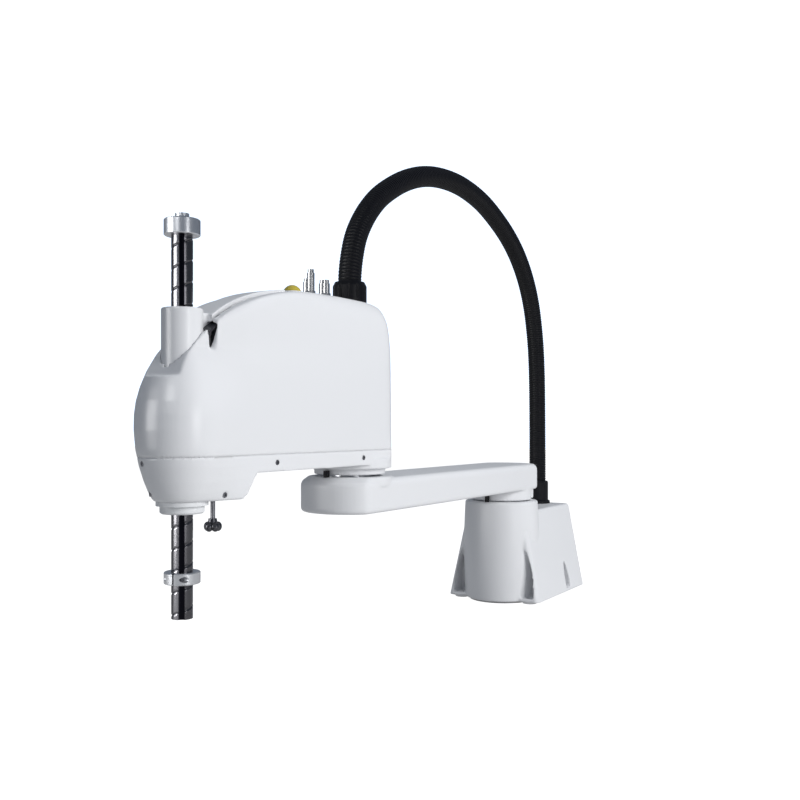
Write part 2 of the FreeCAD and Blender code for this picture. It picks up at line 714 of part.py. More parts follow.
def conduit_route():
    """Route of the conduit from the arm gland over to the base gland, as (x, z)."""
    span = BASE_GLAND_X - ELBOW_X
    middle = [(ELBOW_X + share * span, ARM_GLAND_TOP + rise) for share, rise in CONDUIT_SHAPE]
    start = [(ELBOW_X, ARM_GLAND_TOP), (ELBOW_X, ARM_GLAND_TOP + CONDUIT_RISE)]
    end = [(BASE_GLAND_X, BASE_GLAND_TOP + CONDUIT_TAIL), (BASE_GLAND_X, BASE_GLAND_TOP)]
    return start + middle + end


def conduit_radii():
    """Bend radius at each inner point of the route."""
    radii = []
    points = conduit_route()
    for a, p, b in zip(points, points[1:], points[2:]):
        inward = math.atan2(p[1] - a[1], p[0] - a[0])
        outward = math.atan2(b[1] - p[1], b[0] - p[0])
        turn = abs((outward - inward + math.pi) % (2 * math.pi) - math.pi)
        short = min(math.dist(a, p), math.dist(p, b))
        radii.append(CONDUIT_BEND_SHARE * short / math.tan(turn / 2))
    return radii


def cable_conduit():
    """Corrugated hose as a plain tube of straight runs joined by tangent arcs."""
    route = [vec(x, 0, z) for x, z in conduit_route()]
    edges = []
    start = route[0]
    for i in range(1, len(route) - 1):
        before = route[i - 1] - route[i]
        after = route[i + 1] - route[i]
        cut = CONDUIT_BEND_SHARE * min(before.Length, after.Length)
        before.normalize()
        after.normalize()
        a = route[i] + before * cut
        b = route[i] + after * cut
        half = before.getAngle(after) / 2
        radius = cut * math.tan(half)
        middle = before + after
        middle.normalize()
        top = route[i] + middle * (cut / math.cos(half) - radius)
        edges.append(Part.LineSegment(start, a).toShape())
        edges.append(Part.Arc(a, top, b).toShape())
        start = b
    edges.append(Part.LineSegment(start, route[-1]).toShape())
    path = Part.Wire(edges)
    direction = (route[1] - route[0]).normalize()
    disc = Part.Wire(Part.makeCircle(CONDUIT_R, route[0], direction))
    tube = path.makePipeShell([disc], True, False)
    section = math.pi * CONDUIT_R ** 2
    print("conduit length %.1f, volume over section times length %.4f"
          % (path.Length, tube.Volume / (section * path.Length)))
    print("conduit radii " + " ".join("%.0f" % r for r in conduit_radii()))
    return tube


# Outer arm housing


def nose_radius(z):
    """Radius of the nose about the spindle, by height, from the front silhouette."""
    return NOSE_R * interpolated(NOSE_PROFILE, (z - NOSE_BOTTOM) / (HOUSING_TOP - NOSE_BOTTOM))


def interpolated(table, at):
    if at <= table[0][0]:
        return table[0][1]
    for (a0, b0), (a1, b1) in zip(table, table[1:]):
        if at <= a1:
            return b0 + (b1 - b0) * (at - a0) / (a1 - a0)
    return table[-1][1]


def rear_share(z):
    """How far the rear end draws in towards the roof, as a share of its radius."""
    return interpolated(REAR_DRAW, z - HOUSING_TOP)


def side_share(z):
    """How far the sides draw in towards the roof, as a share of their width."""
    return interpolated(SIDE_DRAW, z - HOUSING_TOP)


def housing_wire(z, inset):
    """Plan outline of the outer arm at one height, drawn in by a wall."""
    rear = HOUSING_REAR_R * rear_share(z) - inset
    half_rear = HOUSING_HALF_REAR * min(rear_share(z), side_share(z)) - inset
    half_mid = HOUSING_HALF_MID * side_share(z) - inset
    nose = nose_radius(z) - inset
    rear_run = math.sqrt(rear ** 2 - half_rear ** 2)
    span = HOUSING_SHOULDER
    shoulder_x = SPINDLE_X - span
    half_mid = min(half_mid, nose + NOSE_SLOPE * span)
    reach = math.hypot(span, half_mid)
    angle = math.atan2(half_mid, -span) - math.acos(min(1.0, nose / reach))
    tx = SPINDLE_X + nose * math.cos(angle)
    ty = nose * math.sin(angle)
    edges = [
        arc((ELBOW_X - rear_run, half_rear, z), (ELBOW_X - rear, 0, z), (ELBOW_X - rear_run, -half_rear, z)),
        line((ELBOW_X - rear_run, -half_rear, z), (shoulder_x, -half_mid, z)),
        line((shoulder_x, -half_mid, z), (tx, -ty, z)),
        arc((tx, -ty, z), (SPINDLE_X + nose, 0, z), (tx, ty, z)),
        line((tx, ty, z), (shoulder_x, half_mid, z)),
        line((shoulder_x, half_mid, z), (ELBOW_X - rear_run, half_rear, z)),
    ]
    return Part.Wire(edges)


def housing_loft(levels, inset):
    return Part.makeLoft([housing_wire(z, inset) for z in levels], True, True)


def crown(drop):
    """Points of the top line of the housing, from the rear end to the tower."""
    points = [(HOUSING_REAR_X + x, z) for x, z in CROWN_REAR] + [(SPINDLE_X + x, z) for x, z in CROWN_FRONT]
    return [(x, HOUSING_TOP + z - drop) for x, z in points]


def crown_curve(drop, y):
    curve = Part.BSplineCurve()
    curve.interpolate([vec(x, y, z) for x, z in crown(drop)])
    return curve


def roof_at(x):
    """Height of the housing's top line at a place along the arm."""
    curve = crown_curve(0.0, 0.0)
    low, high = curve.FirstParameter, curve.LastParameter
    for _ in range(40):
        middle = (low + high) / 2
        if curve.value(middle).x < x:
            low = middle
        else:
            high = middle
    return curve.value(low).z


def roof_under(x, radius):
    """Highest point of the roof under a round foot."""
    return max(roof_at(x + radius * i / 4) for i in range(-4, 5))


def under_crown(drop, low, half):
    """Everything below the top line, as a block of the given half width."""
    points = crown(drop)
    top = crown_curve(drop, -half).toShape()
    first, last = points[0], points[-1]
    ahead = last[0] + HOUSING_MARGIN
    edges = [
        top,
        line((last[0], -half, last[1]), (ahead, -half, last[1])),
        line((ahead, -half, last[1]), (ahead, -half, low)),
        line((ahead, -half, low), (first[0], -half, low)),
        line((first[0], -half, low), (first[0], -half, first[1])),
    ]
    return Part.Face(Part.Wire(edges)).extrude(vec(0, 2 * half, 0))


def height_at(share):
    """Height of a level given as a share of the housing's height."""
    return NOSE_BOTTOM + share * (HOUSING_TOP - NOSE_BOTTOM)


def pan_levels(low):
    """Levels of the nose profile from a height up to the split."""
    between = [height_at(share) for share, _ in NOSE_PROFILE if low < height_at(share) < SPLIT_Z - OVERCUT]
    return [low] + between + [SPLIT_Z]


def nose_envelope():
    """What the pan may fill: high behind, with a slanted step down to the nose."""
    half = HOUSING_MARGIN
    rear, front = HOUSING_REAR_X - OVERCUT, SPINDLE_X + NOSE_R + OVERCUT
    bevel = NOSE_STEP_BEVEL
    slant = NOSE_STEP_X - NOSE_STEP_SLANT
    points = [(rear, PAN_BOTTOM), (slant - bevel, PAN_BOTTOM), (slant, PAN_BOTTOM - bevel),
              (NOSE_STEP_X, NOSE_BOTTOM + bevel), (NOSE_STEP_X + bevel, NOSE_BOTTOM),
              (front, NOSE_BOTTOM), (front, SPLIT_Z), (rear, SPLIT_Z)]
    return polygon([(x, -half, z) for x, z in points]).extrude(vec(0, 2 * half, 0))


def outer_arm_pan():
    outside = housing_loft(pan_levels(NOSE_BOTTOM), 0.0).common(nose_envelope())
    half = HOUSING_MARGIN
    wall_x = NOSE_STEP_X + NOSE_STEP_BEVEL + OVERCUT
    rear_part = block(HOUSING_REAR_X, wall_x, -half, half, PAN_FLOOR_TOP, SPLIT_Z)
    nose_part = block(wall_x, SPINDLE_X + NOSE_R, -half, half, NOSE_FLOOR_TOP, SPLIT_Z)
    hollow = housing_loft(pan_levels(NOSE_FLOOR_TOP), PAN_WALL).common(rear_part.fuse(nose_part))
    pan = outside.cut(hollow)
    pan = pan.fuse(cylinder(BOSS_R, BOSS_BOTTOM, PAN_FLOOR_TOP, ELBOW_X))
    pan = pan.fuse(cylinder(NECK_R, NECK_BOTTOM, PAN_BOTTOM, ELBOW_X))
    for side in (1, -1):
        angle = side * (ELBOW_LIMIT + STOP_LUG_ANGLE)
        pan = pan.fuse(stop_lug(ELBOW_X, NECK_R, ELBOW_STOP_AT + STOP_PIN_R, angle,
                                NECK_BOTTOM, BOSS_BOTTOM + OVERCUT))
    pilot_seat = PAN_FLOOR_TOP - MOTOR_PILOT_HEIGHT - SEAT
    holes = [
        cylinder(OUTPUT_BORE_R, NECK_BOTTOM - OVERCUT, PAN_FLOOR_TOP + OVERCUT, ELBOW_X),
        cylinder(pilot_radius(ELBOW_FRAME) + SEAT, pilot_seat, SPLIT_Z, ELBOW_X),
        cylinder(NUT_R + RUNNING, NOSE_BOTTOM - OVERCUT, NOSE_FLOOR_TOP + OVERCUT, SPINDLE_X),
        cylinder(STUD_R + RUNNING, NOSE_BOTTOM - OVERCUT, NOSE_FLOOR_TOP + OVERCUT, KNOB_X),
        cylinder(STUD_HEAD_R + SEAT, NOSE_FLOOR_TOP, NOSE_FLOOR_TOP + STUD_HEAD_HEIGHT + SEAT, KNOB_X),
    ]
    for hole in holes:
        pan = pan.cut(hole)
    return pan.cut(screw_recesses()).removeSplitter()


def cover_levels():
    base = SPLIT_Z + COVER_SEAM
    dome = [height_at(share) for share, _ in NOSE_PROFILE[:-1] if height_at(share) > base + OVERCUT]
    roof = [HOUSING_TOP + drop for drop, _ in REAR_DRAW if HOUSING_TOP + drop > dome[-1] + OVERCUT]
    return [base] + dome + roof


def outer_arm_cover():
    half = HOUSING_MARGIN
    outside = housing_loft(cover_levels(), 0.0).common(under_crown(0.0, SPLIT_Z, half))
    hollow = housing_loft(cover_levels(), COVER_WALL).common(under_crown(COVER_WALL, SPLIT_Z, half))
    shell = outside.cut(hollow)
    shell = shell.cut(cylinder(TOWER_R + SEAT, TOWER_BOTTOM - TOWER_R, HOUSING_TOP, SPINDLE_X))
    shell = shell.cut(spine_slot())
    under_gland = roof_at(ELBOW_X) - 2 * COVER_WALL
    shell = shell.cut(cylinder(CONDUIT_R, under_gland, HOUSING_TOP + HOUSING_MARGIN, ELBOW_X))
    return shell.removeSplitter()


def spine_slot():
    """Long opening in the cover that widens towards the tower."""
    narrow = SPINE_HALF + LOOSE
    middle = narrow + SPINE_SLOT_GAP
    wide = middle + SLOT_FLARE * SPINE_SLOT_GAP
    edge = [(SPINE_REAR_X, narrow), (SPINDLE_X - SLOT_MIDDLE_SHARE * TOWER_R, middle),
            (SPINDLE_X - SLOT_WIDE_SHARE * TOWER_R, wide),
            (SPINDLE_X - SLOT_END_SHARE * TOWER_R, SLOT_END_HALF)]
    points = edge + [(x, -y) for x, y in reversed(edge)]
    outline = polygon([(x, y, TOWER_BOTTOM) for x, y in points])
    return outline.extrude(vec(0, 0, HOUSING_TOP + HOUSING_MARGIN - TOWER_BOTTOM))


def spine_cover():
    """Raised strip along the top that ends in the tower round the spindle."""
    low, high = TOWER_BOTTOM, HOUSING_TOP + HOUSING_MARGIN
    half = SPINE_HALF
    above = under_crown(-SPINE_RISE, low - HOUSING_MARGIN, half)
    below = under_crown(COVER_WALL, low - 2 * HOUSING_MARGIN, half + OVERCUT)
    strip = above.cut(below)
    strip_end = SPINDLE_X - STRIP_END_SHARE * TOWER_R
    strip = strip.common(block(SPINE_REAR_X + SEAT, strip_end, -half, half, low - COVER_WALL, high))
    saddle_rear = SPINDLE_X - SADDLE_REAR_SHARE * TOWER_R
    saddle_front = SPINDLE_X - SADDLE_FRONT_SHARE * TOWER_R
    saddle = block(saddle_rear, saddle_front, -SADDLE_HALF, SADDLE_HALF, SADDLE_LOW, TOWER_TOP - SADDLE_DROP)
    tower = cylinder(TOWER_R, TOWER_BOTTOM, TOWER_TOP, SPINDLE_X)
    tower = tower.makeFillet(TOWER_RIM_R, level_edges(tower, TOWER_TOP))
    tower = fused([strip, saddle, tower])
    return tower.cut(cylinder(TOWER_BORE_R, TOWER_BOTTOM - OVERCUT, TOWER_TOP + OVERCUT, SPINDLE_X))


# Spindle and its drives

def spindle_seal_ring():
    """Stepped ring under the nose that keeps the spline nut clean."""
    bore = SPINDLE_R + LOOSE
    flange_low = NOSE_BOTTOM - SEAL_FLANGE_THICK
    profile = [(bore, SEAL_BOTTOM), (SEAL_R - SEAL_BEVEL, SEAL_BOTTOM), (SEAL_R, SEAL_BOTTOM + SEAL_BEVEL),
               (SEAL_R, flange_low), (SEAL_FLANGE_R, flange_low), (SEAL_FLANGE_R, NOSE_BOTTOM),
               (bore, NOSE_BOTTOM)]
    return revolved(profile, SPINDLE_X)


def lower_bearing_housing():
    """Flanged ring that carries the spline nut in the nose."""
    bore = NUT_R + RUNNING
    flange_low = SPLINE_NUT_TOP - LOWER_FLANGE_DROP
    sleeve = ring(NUT_R + LOWER_SLEEVE_WALL, bore, NOSE_FLOOR_TOP, SPLINE_NUT_TOP - OVERCUT, SPINDLE_X)
    flange = ring(LOWER_FLANGE_R, bore, flange_low, flange_low + BEARING_FLANGE_THICK, SPINDLE_X)
    return flange.fuse(sleeve).removeSplitter()


def spline_nut():
    return ring(NUT_R, SPINDLE_R + RUNNING, NOSE_BOTTOM + LOOSE, SPLINE_NUT_TOP, SPINDLE_X)


def toothed_pulley(radius, bore, low, x):
    """Flanged pulley with round-bottomed teeth for a timing belt."""
    high = low + BELT_WIDTH
    wheel = ring(radius, bore, low, high, x)
    count = int(round(2 * math.pi * radius / TOOTH_PITCH))
    grooves = []
    for i in range(count):
        angle = 2 * math.pi * i / count
        grooves.append(cylinder(TOOTH_R, low + TOOTH_R, high - TOOTH_R, x + radius * math.cos(angle),
                                radius * math.sin(angle)))
    return wheel.cut(Part.makeCompound(grooves))


def spline_pulley():
    bore = SPINDLE_R + LOOSE
    hub = ring(PULLEY_HUB_R, bore, SPLINE_NUT_TOP, SPLINE_BELT_Z, SPINDLE_X)
    return toothed_pulley(PULLEY_R, bore, SPLINE_BELT_Z, SPINDLE_X).fuse(hub).removeSplitter()


def screw_pulley():
    bore = SPINDLE_R + LOOSE
    hub = ring(PULLEY_HUB_R, bore, SCREW_BELT_Z + BELT_WIDTH, SCREW_NUT_Z, SPINDLE_X)
    return toothed_pulley(PULLEY_R, bore, SCREW_BELT_Z, SPINDLE_X).fuse(hub).removeSplitter()


def screw_nut():
    return ring(SCREW_NUT_R, SPINDLE_R + LOOSE, SCREW_NUT_Z, SCREW_NUT_TOP, SPINDLE_X)


def upper_bearing_housing():
    """Flanged ring that carries the ball-screw nut on the drive bracket."""
    bore = SCREW_NUT_R + RUNNING
    low = MOTOR_SEAT_Z
    flange = ring(UPPER_FLANGE_R, bore, low, low + BEARING_FLANGE_THICK, SPINDLE_X)
    sleeve = ring(UPPER_SLEEVE_R, bore, low, SCREW_NUT_TOP - 2 * OVERCUT, SPINDLE_X)
    return flange.fuse(sleeve).removeSplitter()


def drive_bracket():
    """Plate over the belts that carries both motors, on four legs."""
    low, high, half = BRACKET_Z, MOTOR_SEAT_Z, BRACKET_HALF
    plate = block(BRACKET_REAR_X, SPINDLE_X, -half, half, low, high)
    plate = plate.fuse(cylinder(half, low, high, SPINDLE_X))
    plate = plate.cut(cylinder(SCREW_NUT_R + LOOSE, low - OVERCUT, high + OVERCUT, SPINDLE_X))
    for x, frame in ((SPIN_MOTOR_X, SPIN_MOTOR_FRAME), (LIFT_MOTOR_X, LIFT_MOTOR_FRAME)):
        plate = plate.cut(cylinder(pilot_radius(frame) + SEAT, low - OVERCUT, high + OVERCUT, x))
    for x in (BRACKET_REAR_X, SPINDLE_X - BRACKET_FRONT_RUN):
        for side in (1, -1):
            inner, outer = sorted((side * (half - BRACKET_LEG), side * half))
            plate = plate.fuse(block(x, x + BRACKET_LEG_RUN, inner, outer, PAN_FLOOR_TOP, low))
    return plate.removeSplitter()


def spin_motor():
    return servo_motor(SPIN_MOTOR_X, 0, MOTOR_SEAT_Z, MOTOR_SEAT_Z + SPIN_MOTOR_LENGTH, SPIN_MOTOR_FRAME,
                       DRIVE_SHAFT_R, SPLINE_BELT_Z)


def lift_motor():
    return servo_motor(LIFT_MOTOR_X, 0, MOTOR_SEAT_Z, MOTOR_SEAT_Z + LIFT_MOTOR_LENGTH, LIFT_MOTOR_FRAME,
                       DRIVE_SHAFT_R, SCREW_BELT_Z)


def elbow_motor():
    return servo_motor(ELBOW_X, 0, PAN_FLOOR_TOP, PAN_FLOOR_TOP + ELBOW_MOTOR_LENGTH, ELBOW_FRAME,
                       ELBOW_SHAFT_R, ELBOW_REDUCER_LOW + ELBOW_REDUCER_FLOOR + OVERCUT)


def timing_belt(low, motor_x):
    """Closed loop round the spindle pulley and the motor pulley."""
    span = SPINDLE_X - motor_x

    def loop(offset):
        big = PULLEY_R + offset
        small = MOTOR_PULLEY_R + offset
        angle = math.acos((big - small) / span)
        bx, by = -big * math.cos(angle), big * math.sin(angle)
        sx, sy = -small * math.cos(angle), small * math.sin(angle)
        edges = [
            arc((SPINDLE_X + bx, by, low), (SPINDLE_X + big, 0, low), (SPINDLE_X + bx, -by, low)),
            line((SPINDLE_X + bx, -by, low), (motor_x + sx, -sy, low)),
            arc((motor_x + sx, -sy, low), (motor_x - small, 0, low), (motor_x + sx, sy, low)),
            line((motor_x + sx, sy, low), (SPINDLE_X + bx, by, low)),
        ]
        return Part.Face(Part.Wire(edges))
    inner = LOOSE
    band = loop(inner + BELT_THICK).cut(loop(inner))
    return band.extrude(vec(0, 0, BELT_WIDTH))


def motor_pulley(low, x):
    return toothed_pulley(MOTOR_PULLEY_R, DRIVE_SHAFT_R + SEAT, low, x)


def spindle_shaft():
    """Hollow ball-screw spline shaft with straight flutes."""
    tool_end_top = SPINDLE_TIP + TOOL_END_LENGTH
    shaft = ring(SPINDLE_R, SPINDLE_BORE_R, tool_end_top, SHAFT_TOP, SPINDLE_X)
    shaft = shaft.fuse(ring(TOOL_END_R, SPINDLE_BORE_R, SPINDLE_TIP, tool_end_top, SPINDLE_X))
    reach = SPINDLE_R + FLUTE_OFFSET
    grooves = []
    for i in range(FLUTE_COUNT):
        angle = math.radians(FLUTE_ANGLE + 360.0 * i / FLUTE_COUNT)
        grooves.append(cylinder(FLUTE_R, SPINDLE_TIP - OVERCUT, SHAFT_TOP + OVERCUT,
                                SPINDLE_X + reach * math.cos(angle), reach * math.sin(angle)))
    return shaft.cut(Part.makeCompound(grooves))


def clamp_screw_axis(z):
    """Point of the clamp screw's axis beside the collar's slit."""
    return vec(COLLAR_R - CLAMP_SCREW_INSET, 0, z)


def turned_on_spindle(shape, angle):
    shape.rotate(vec(0, 0, 0), vec(0, 0, 1), angle)
    shape.translate(vec(SPINDLE_X, 0, 0))
    return shape


def stop_collar(low, height, slit_angle):
    """Split clamp collar with its slit and a counterbored clamp-screw hole."""
    collar = ring(COLLAR_R, SPINDLE_R + RUNNING, low, low + height)
    rims = [e for e in collar.Edges if abs(e.Length - 2 * math.pi * COLLAR_R) < 0.1]
    collar = collar.makeChamfer(COLLAR_BEVEL, rims)
    half_slit = COLLAR_SLIT / 2
    slit = block(0, COLLAR_R + OVERCUT, -half_slit, half_slit, low - OVERCUT, low + height + OVERCUT)
    collar = collar.cut(slit)
    middle = clamp_screw_axis(low + height / 2)
    hole = Part.makeCylinder(CLAMP_SCREW_R, 2 * COLLAR_R, middle - vec(0, COLLAR_R, 0), vec(0, 1, 0))
    seat = Part.makeCylinder(CLAMP_SCREW_HEAD_R, COLLAR_R, middle + vec(0, CLAMP_SCREW_SEAT, 0), vec(0, 1, 0))
    return turned_on_spindle(collar.cut(hole).cut(seat), slit_angle)


def collar_screw(low, height, slit_angle):
    """Socket-head clamp screw across the collar's slit."""
    middle = clamp_screw_axis(low + height / 2)
    under_head = middle + vec(0, CLAMP_SCREW_SEAT, 0)
    shank = Part.makeCylinder(CLAMP_SCREW_R - SEAT, 3 * CLAMP_SCREW_SEAT,
                              middle - vec(0, 2 * CLAMP_SCREW_SEAT, 0), vec(0, 1, 0))
    head = Part.makeCylinder(CLAMP_SCREW_HEAD_R - SEAT, CLAMP_SCREW_HEAD_HEIGHT, under_head, vec(0, 1, 0))
    socket = Part.makeCylinder(CLAMP_SCREW_SOCKET_R, CLAMP_SCREW_HEAD_HEIGHT,
                               under_head + vec(0, CLAMP_SCREW_HEAD_HEIGHT / 2, 0), vec(0, 1, 0))
    return turned_on_spindle(shank.fuse(head).cut(socket).removeSplitter(), slit_angle)


def collar_screws():
    return Part.makeCompound([
        collar_screw(UPPER_COLLAR_Z, UPPER_COLLAR_HEIGHT, UPPER_SLIT_ANGLE),
        collar_screw(LOWER_COLLAR_Z, LOWER_COLLAR_HEIGHT, LOWER_SLIT_ANGLE),
    ])


def shaft_end_plug():
    """Hollow plug in the top of the shaft, for wires and tubes."""
    bore, plug_r, rim_r = END_PLUG_BORE_R, SPINDLE_BORE_R - SEAT, SPINDLE_BORE_R + END_PLUG_RIM / 2
    top = SHAFT_TOP + END_PLUG_HEIGHT
    low, rim_top = SHAFT_TOP - END_PLUG_DEPTH, SHAFT_TOP + END_PLUG_RIM
    profile = [(bore, low), (plug_r, low), (plug_r, SHAFT_TOP), (rim_r, SHAFT_TOP), (rim_r, rim_top),
               (END_PLUG_R, rim_top + END_PLUG_RIM), (END_PLUG_R, top), (bore, top)]
    return revolved(profile, SPINDLE_X)


def knob_stud():
    """Screw that hangs from the nose's floor and carries the knob."""
    stud = cylinder(STUD_R, KNOB_LOW + KNOB_SOCKET, NOSE_FLOOR_TOP, KNOB_X)
    head = cylinder(STUD_HEAD_R, NOSE_FLOOR_TOP, NOSE_FLOOR_TOP + STUD_HEAD_HEIGHT, KNOB_X)
    return stud.fuse(head).removeSplitter()


def star_knob():
    """Five-lobed clamping knob."""
    top = KNOB_LOW + KNOB_HEIGHT
    body = cylinder(KNOB_R, KNOB_LOW, top, KNOB_X)
    reach = KNOB_R + KNOB_NOTCH_OFFSET
    for i in range(KNOB_LOBES):
        angle = 2 * math.pi * (i + 0.5) / KNOB_LOBES
        body = body.cut(cylinder(KNOB_NOTCH_R, KNOB_LOW - OVERCUT, top + OVERCUT,
                                 KNOB_X + reach * math.cos(angle), reach * math.sin(angle)))
    hub = cylinder(KNOB_HUB_R, top, top + KNOB_HUB_HEIGHT, KNOB_X)
    bore = cylinder(STUD_R + RUNNING, KNOB_LOW + KNOB_SOCKET, top + KNOB_HUB_HEIGHT + OVERCUT, KNOB_X)
    return body.fuse(hub).cut(bore).removeSplitter()


# Pieces on the outer arm

def arm_conduit_gland():
    """Ribbed screw gland on the elbow axis, where the conduit enters the arm."""
    low = roof_under(ELBOW_X, ARM_GLAND_R) + SEAT
    r, bevel, bore, top = ARM_GLAND_R, ARM_GLAND_BEVEL, CONDUIT_BORE_R, ARM_GLAND_TOP
    body = revolved([(bore, low), (r - bevel, low), (r, low + bevel), (r, top - 2 * bevel), (r - bevel, top),
                     (bore, top)], ELBOW_X)
    reach = r + ARM_GLAND_NOTCH_R / 2
    notches = []
    for i in range(ARM_GLAND_NOTCHES):
        angle = 2 * math.pi * i / ARM_GLAND_NOTCHES
        notches.append(cylinder(ARM_GLAND_NOTCH_R, low + ARM_GLAND_NOTCH_LIFT, top + OVERCUT,
                                ELBOW_X + reach * math.cos(angle), reach * math.sin(angle)))
    return body.cut(Part.makeCompound(notches))


def lamp_foot_z():
    return roof_under(LAMP_X, LAMP_FOOT_R) + SEAT


def lamp_base():
    return cylinder(LAMP_FOOT_R, lamp_foot_z(), lamp_foot_z() + LAMP_FOOT, LAMP_X)


def status_lamp():
    """Shallow dome on its foot."""
    low = lamp_foot_z() + LAMP_FOOT
    radius = (LAMP_R ** 2 + LAMP_HEIGHT ** 2) / (2 * LAMP_HEIGHT)
    ball = Part.makeSphere(radius, vec(LAMP_X, 0, low + LAMP_HEIGHT - radius))
    return ball.common(cylinder(LAMP_R + OVERCUT, low, low + LAMP_HEIGHT + OVERCUT, LAMP_X))


def air_fittings():
    """Push-in fittings: hexagon foot, neck and release ring."""
    made = []
    for run, y, height, radius in FITTINGS:
        x = ELBOW_X + run
        hex_r = FITTING_HEX_SHARE * radius
        low = roof_under(x, hex_r) + SEAT
        top = low + height
        ring_low = top - FITTING_RING_HEIGHT
        angles = [math.pi * i / 3 for i in range(6)]
        corners = [(x + hex_r * math.cos(a), y + hex_r * math.sin(a), low) for a in angles]
        foot = polygon(corners).extrude(vec(0, 0, FITTING_HEX_HEIGHT))
        neck = cylinder(radius, low + FITTING_HEX_HEIGHT, ring_low, x, y)
        release = cylinder(radius * FITTING_RING_SHARE, ring_low, top, x, y)
        bore = cylinder(radius * FITTING_BORE_SHARE, low + FITTING_HEX_HEIGHT, top + OVERCUT, x, y)
        made.append(fused([foot, neck, release]).cut(bore))
    return Part.makeCompound(made)


def cover_screw_seats():
    """Point on the housing and outward direction of each screw that holds the cover."""
    housing = housing_loft(pan_levels(NOSE_BOTTOM), 0.0)
    middles = [(ELBOW_X + run, UPPER_SCREW_Z) for run in (REAR_SCREW_RUN, MIDDLE_SCREW_RUN)]
    middles.append((ELBOW_X + NOSE_SCREW_RUN, NOSE_SCREW_Z))
    rays = [(vec(x, 0, z), vec(0, side, 0)) for x, z in middles for side in (1, -1)]
    for degrees, z in NOSE_SCREWS:
        angle = math.radians(degrees)
        rays.append((vec(SPINDLE_X, 0, z), vec(math.cos(angle), math.sin(angle), 0)))
    seats = []
    for start, outward in rays:
        ray = Part.LineSegment(start, start + outward * (2 * HOUSING_MARGIN)).toShape()
        inside = ray.common(housing)
        reach = max((v.Point - start).Length for v in inside.Vertexes)
        seats.append((start + outward * reach, outward))
    return seats


def screw_recesses():
    radius = COVER_SCREW_R + COVER_SCREW_GAP
    return Part.makeCompound([
        Part.makeCylinder(radius, 4 * COVER_SCREW_SINK, place - outward * COVER_SCREW_SINK, outward)
        for place, outward in cover_screw_seats()
    ])


def cover_screws():
    """Socket-head screws sunk into the housing's sides and nose."""
    screws = []
    for place, outward in cover_screw_seats():
        under_head = place - outward * (COVER_SCREW_SINK - SEAT)
        head = Part.makeCylinder(COVER_SCREW_R, COVER_SCREW_SINK, under_head, outward)
        socket = Part.makeCylinder(COVER_SCREW_SOCKET_R, COVER_SCREW_SINK,
                                   place - outward * COVER_SCREW_SOCKET_DEPTH, outward)
        screws.append(head.cut(socket))
    return Part.makeCompound(screws)


def build():
    os.makedirs("parts", exist_ok=True)
    write("base_casting", base_casting())
    write("base_floor_plate", base_floor_plate())
    write("connector_panel", connector_panel())
    for name, z, radius, length in connector_places():
        write(name, round_connector(z, radius, length))
    write("base_air_ports", base_air_ports())
    write("panel_screws", panel_screws())
    write("shoulder_motor", shoulder_motor())
    write("shoulder_reducer", shoulder_reducer())
    write("shoulder_stop_pin", shoulder_stop_pin())
    write("base_conduit_gland", base_conduit_gland())
    write("inner_arm_casting", inner_arm_casting())
    write("shoulder_output", shoulder_output())
    write("elbow_reducer", elbow_reducer())
    write("elbow_stop_pin", elbow_stop_pin())
    write("cable_conduit", cable_conduit())
    write("outer_arm_pan", outer_arm_pan())
    write("outer_arm_cover", outer_arm_cover())
    write("spine_cover", spine_cover())
    write("elbow_output", elbow_output())
    write("elbow_motor", elbow_motor())
    write("drive_bracket", drive_bracket())
    write("spin_motor", spin_motor())
    write("lift_motor", lift_motor())
    write("spin_belt", timing_belt(SPLINE_BELT_Z, SPIN_MOTOR_X))
    write("lift_belt", timing_belt(SCREW_BELT_Z, LIFT_MOTOR_X))
    write("spin_motor_pulley", motor_pulley(SPLINE_BELT_Z, SPIN_MOTOR_X))
    write("lift_motor_pulley", motor_pulley(SCREW_BELT_Z, LIFT_MOTOR_X))
    write("lower_bearing_housing", lower_bearing_housing())
    write("upper_bearing_housing", upper_bearing_housing())
    write("spindle_seal_ring", spindle_seal_ring())
    write("spline_nut", spline_nut())
    write("spline_pulley", spline_pulley())
    write("screw_nut", screw_nut())
    write("screw_pulley", screw_pulley())
    write("spindle_shaft", spindle_shaft())
    write("upper_stop_collar", stop_collar(UPPER_COLLAR_Z, UPPER_COLLAR_HEIGHT, UPPER_SLIT_ANGLE))
    write("lower_stop_collar", stop_collar(LOWER_COLLAR_Z, LOWER_COLLAR_HEIGHT, LOWER_SLIT_ANGLE))
    write("collar_screws", collar_screws())
    write("shaft_end_plug", shaft_end_plug())
    write("knob_stud", knob_stud())
    write("star_knob", star_knob())
    write("arm_conduit_gland", arm_conduit_gland())
    write("lamp_base", lamp_base())
    write("status_lamp", status_lamp())
    write("air_fittings", air_fittings())
    write("cover_screws", cover_screws())


build()
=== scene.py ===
import json
import math

import bmesh
import bpy
from mathutils import Matrix, Vector
from mathutils.bvhtree import BVHTree


